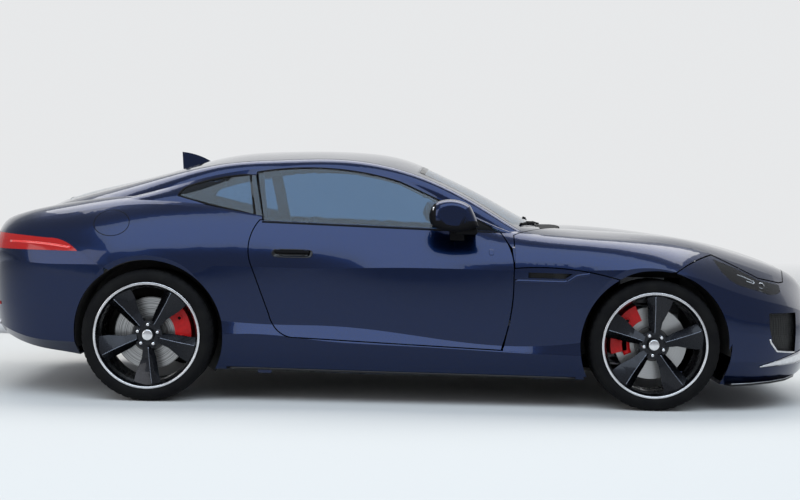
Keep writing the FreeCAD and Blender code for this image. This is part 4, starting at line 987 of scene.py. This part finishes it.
# ------------------------ wipers
WIPERS = (("right", (0.735, -0.16), (0.600, -0.60)), ("left", (0.730, 0.46), (0.655, -0.10)))
ARM_RADIUS, ARM_STEPS = 0.0055, 10
ARM_SECTION = [(ARM_RADIUS * math.cos(2 * math.pi * i / ARM_STEPS),
                ARM_RADIUS * math.sin(2 * math.pi * i / ARM_STEPS)) for i in range(ARM_STEPS)]
WIPER_BLADE = [(-0.004, -0.008), (-0.006, 0.003), (0, 0.007), (0.006, 0.003), (0.004, -0.008)]
WIPER_CAP = [(0.0, 0.012), (0.010, 0.010), (0.013, 0.0)]
LIFT = 0.011  # the arm's middle line above the glass, at its ends
for name, pivot, tip in WIPERS:
    line = []
    for i in range(13):
        f = i / 12
        x, y = (a + (b - a) * f for a, b in zip(pivot, tip))
        line.append(top_hit(wiper_tree, x, y)[0] + UP * (LIFT + 0.003 * math.sin(math.pi * f)))
    arm = line[:9]
    sweep("wiper_arm_" + name, arm, [UP] * len(arm), ARM_SECTION, satin_black, "body")
    blade = [p - UP * 0.006 for p in line[3:]]
    sweep("wiper_blade_" + name, blade, [UP] * len(blade), WIPER_BLADE, rubber, "body")
    turned("wiper_cap_" + name, WIPER_CAP, satin_black, line[0] - UP * LIFT, "X", 64, -1)


# ------------------------ seats
def rounded_loop(width, crown, thick, bolster, count=40):
    """One closed section of a cushion: (across, up) points, its top crowned, with raised sides, a
    seam where they start and a channel inside it."""
    points = []
    half = width / 2
    for i in range(count + 1):
        u = -1 + 2 * i / count
        seam = math.exp(-((abs(u) - 0.60) / 0.035) ** 2)
        channel = math.exp(-((abs(u) - 0.22) / 0.03) ** 2)
        side = max(0.0, (abs(u) - 0.58) / 0.42)
        raised = 0.0
        if 0 < side < 0.74:
            raised = bolster * math.sin(min(1.0, side * 1.35) * math.pi) ** 0.8
        edge = max(0.0, 1 - max(0.0, (abs(u) - 0.86) / 0.14) ** 2)
        up = (crown * (1 - u * u) + raised) * edge - 0.007 * seam - 0.003 * channel
        points.append((u * half, up if edge > 0 else 0))
    for i in range(1, 12):
        u = 1 - 2 * i / 12
        points.append((u * half * 0.96, -thick))
    return points


def cushion(name, path, crown, thick, bolster, y):
    """Padded form along a side-view path of (x, z, up x, up z, scale, raised sides)."""
    width = 0.440
    rows = []
    for x, z, ux, uz, scale, lift in path:
        loop = rounded_loop(width * (0.55 + 0.45 * scale), crown, thick, bolster * lift)
        rows.append([(x + ux * up * scale, y + across, z + uz * up * scale) for across, up in loop])
    bm = bmesh.new()
    cap_ends(bm, grid_surface(bm, rows, close_columns=True))
    o = mesh_object(name, bm, leather, "body")
    soften = o.modifiers.new("soften", "SUBSURF")
    soften.levels = soften.render_levels = 1
    return o


def smooth_path(points, count):
    """Even points on a smooth curve through the given tuples."""
    result = []
    last = len(points) - 1
    for i in range(count + 1):
        t = last * i / count
        k = min(int(t), last - 1)
        f = t - k
        near = [points[max(0, min(last, k + j))] for j in (-1, 0, 1, 2)]
        result.append(tuple(
            0.5 * (2 * b + (c - a) * f + (2 * a - 5 * b + 4 * c - d) * f * f
                   + (3 * b - a - 3 * c + d) * f ** 3) for a, b, c, d in zip(*near)))
    return result


CUSHION_PATH = [
    (0.060, 0.215, 1.0, 0.0, 0.55, 0.2), (0.066, 0.262, 0.95, 0.25, 0.9, 0.5),
    (0.040, 0.300, 0.35, 0.94, 1.0, 0.8), (-0.060, 0.302, 0.0, 1.0, 1.0, 1.0),
    (-0.220, 0.290, 0.0, 1.0, 1.0, 1.0), (-0.340, 0.284, 0.0, 1.0, 1.0, 0.8),
    (-0.395, 0.280, -0.1, 1.0, 0.9, 0.5),
]
BACK_PATH = [
    (-0.395, 0.330, 0.9, 0.3, 0.85, 0.4), (-0.425, 0.420, 0.96, 0.28, 1.0, 0.9),
    (-0.465, 0.540, 0.96, 0.28, 1.0, 1.0), (-0.500, 0.660, 0.96, 0.26, 0.98, 1.0),
    (-0.530, 0.760, 0.97, 0.22, 0.85, 0.7), (-0.550, 0.830, 0.98, 0.16, 0.55, 0.3),
    (-0.562, 0.900, 0.98, 0.12, 0.50, 0.2), (-0.572, 0.948, 0.8, 0.5, 0.40, 0.1),
]
for side, k in SIDES:
    y = k * 0.370
    seat = cushion("seat_cushion_" + side, smooth_path(CUSHION_PATH, 36), 0.018, 0.055, 0.055, y)
    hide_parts("seats")
    cushion("seat_back_" + side, smooth_path(BACK_PATH, 44), 0.016, 0.060, 0.060, y)
    rounded_box("seat_base_" + side, (-0.545, y - 0.140, 0.186), (0.040, y + 0.140, 0.250),
                satin_black, "body", 0.015)


# ------------------------ floor and backdrop
STAGE_FRONT, STAGE_BACK, STAGE_HALF, STAGE_TALL, STAGE_BEND = -30.0, 23.0, 60.0, 18.0, 5.0
GLOW_START = 4.0  # behind the car, so that the floor there keeps its shadow


def stage_look():
    """Pale floor and backdrop, painted lighter towards the back. The far part glows as painted
    light: it shows the camera, gloss and glass a pale tone of its own, and lights nothing else."""
    m = material("stage", (0.62, 0.62, 0.61), 0.9)
    far = rise(m, separate_place(m)["Y"], GLOW_START, STAGE_BACK - STAGE_BEND)
    mix_base(m, far, (0.60, 0.60, 0.59), (0.95, 0.95, 0.94))
    rays = add(m, "ShaderNodeLightPath").outputs
    seen = calc(m, "MAXIMUM", rays["Is Camera Ray"], rays["Is Glossy Ray"])
    seen = calc(m, "MAXIMUM", seen, rays["Is Transmission Ray"])
    glow = add(m, "ShaderNodeEmission", Color=(0.80, 0.81, 0.82, 1), Strength=1.0)
    both = add(m, "ShaderNodeMixShader")
    sources = (calc(m, "MULTIPLY", seen, far), shader_of(m).outputs[0], glow.outputs[0])
    for source, socket in zip(sources, both.inputs):
        link(m, source, socket)
    link(m, both.outputs[0], m.node_tree.nodes["Material Output"].inputs["Surface"])
    return m


def make_stage():
    path = [(STAGE_FRONT, 0.0), (STAGE_BACK - STAGE_BEND, 0.0)]
    for i in range(1, 9):
        a = math.radians(90 * i / 8)
        path.append((STAGE_BACK - STAGE_BEND + STAGE_BEND * math.sin(a),
                     STAGE_BEND - STAGE_BEND * math.cos(a)))
    path.append((STAGE_BACK, STAGE_TALL))
    bm = bmesh.new()
    grid_surface(bm, [[(x, y, z) for y, z in path] for x in (-STAGE_HALF, STAGE_HALF)])
    data = bpy.data.meshes.new("stage")
    bm.to_mesh(data)
    bm.free()
    data.shade_smooth()
    data.materials.append(stage_look())
    o = bpy.data.objects.new("stage", data)
    bpy.context.scene.collection.objects.link(o)


make_stage()


# ------------------------ light and camera
world = bpy.data.worlds.new("world")
world.use_nodes = True
sky = world.node_tree.nodes["Background"]
sky.inputs["Color"].default_value = (0.80, 0.84, 0.90, 1)
sky.inputs["Strength"].default_value = 0.55
bpy.context.scene.world = world

# name, place, target, size, power, colour
LIGHTS = (
    ("key", (1.0, -5.0, 7.5), (0, 0, 0.5), (14, 7), 740, (0.76, 0.88, 1.0)),
    ("fill", (-6.5, -6.0, 3.0), (0, 0, 0.6), (4, 4), 110, (1, 1, 1)),
    ("top", (0, 2.5, 6.5), (0, 0, 0), (10, 4), 420, (1.0, 0.98, 0.94)),
)
for name, place, target, size, power, colour in LIGHTS:
    data = bpy.data.lights.new(name, "AREA")
    data.shape = "RECTANGLE"
    data.size, data.size_y = size
    data.energy = power
    data.color = colour
    o = bpy.data.objects.new(name, data)
    o.location = place
    o.rotation_euler = (Vector(target) - Vector(place)).to_track_quat("-Z", "Y").to_euler()
    bpy.context.scene.collection.objects.link(o)

EYE = (-0.0431, -8.330, 1.090)
LENS_MM, SENSOR_MM = 64.89, 36.0
PITCH, ROLL = 2.186, 1.245
camera = bpy.data.objects.new("camera", bpy.data.cameras.new("camera"))
camera.data.lens = LENS_MM
camera.data.sensor_width = SENSOR_MM
turn = (Matrix.Rotation(math.radians(90 - PITCH), 4, "X")
        @ Matrix.Rotation(math.radians(ROLL), 4, "Z"))
camera.matrix_world = Matrix.Translation(EYE) @ turn
bpy.context.scene.collection.objects.link(camera)
bpy.context.scene.camera = camera
bpy.context.scene.view_settings.view_transform = "Standard"
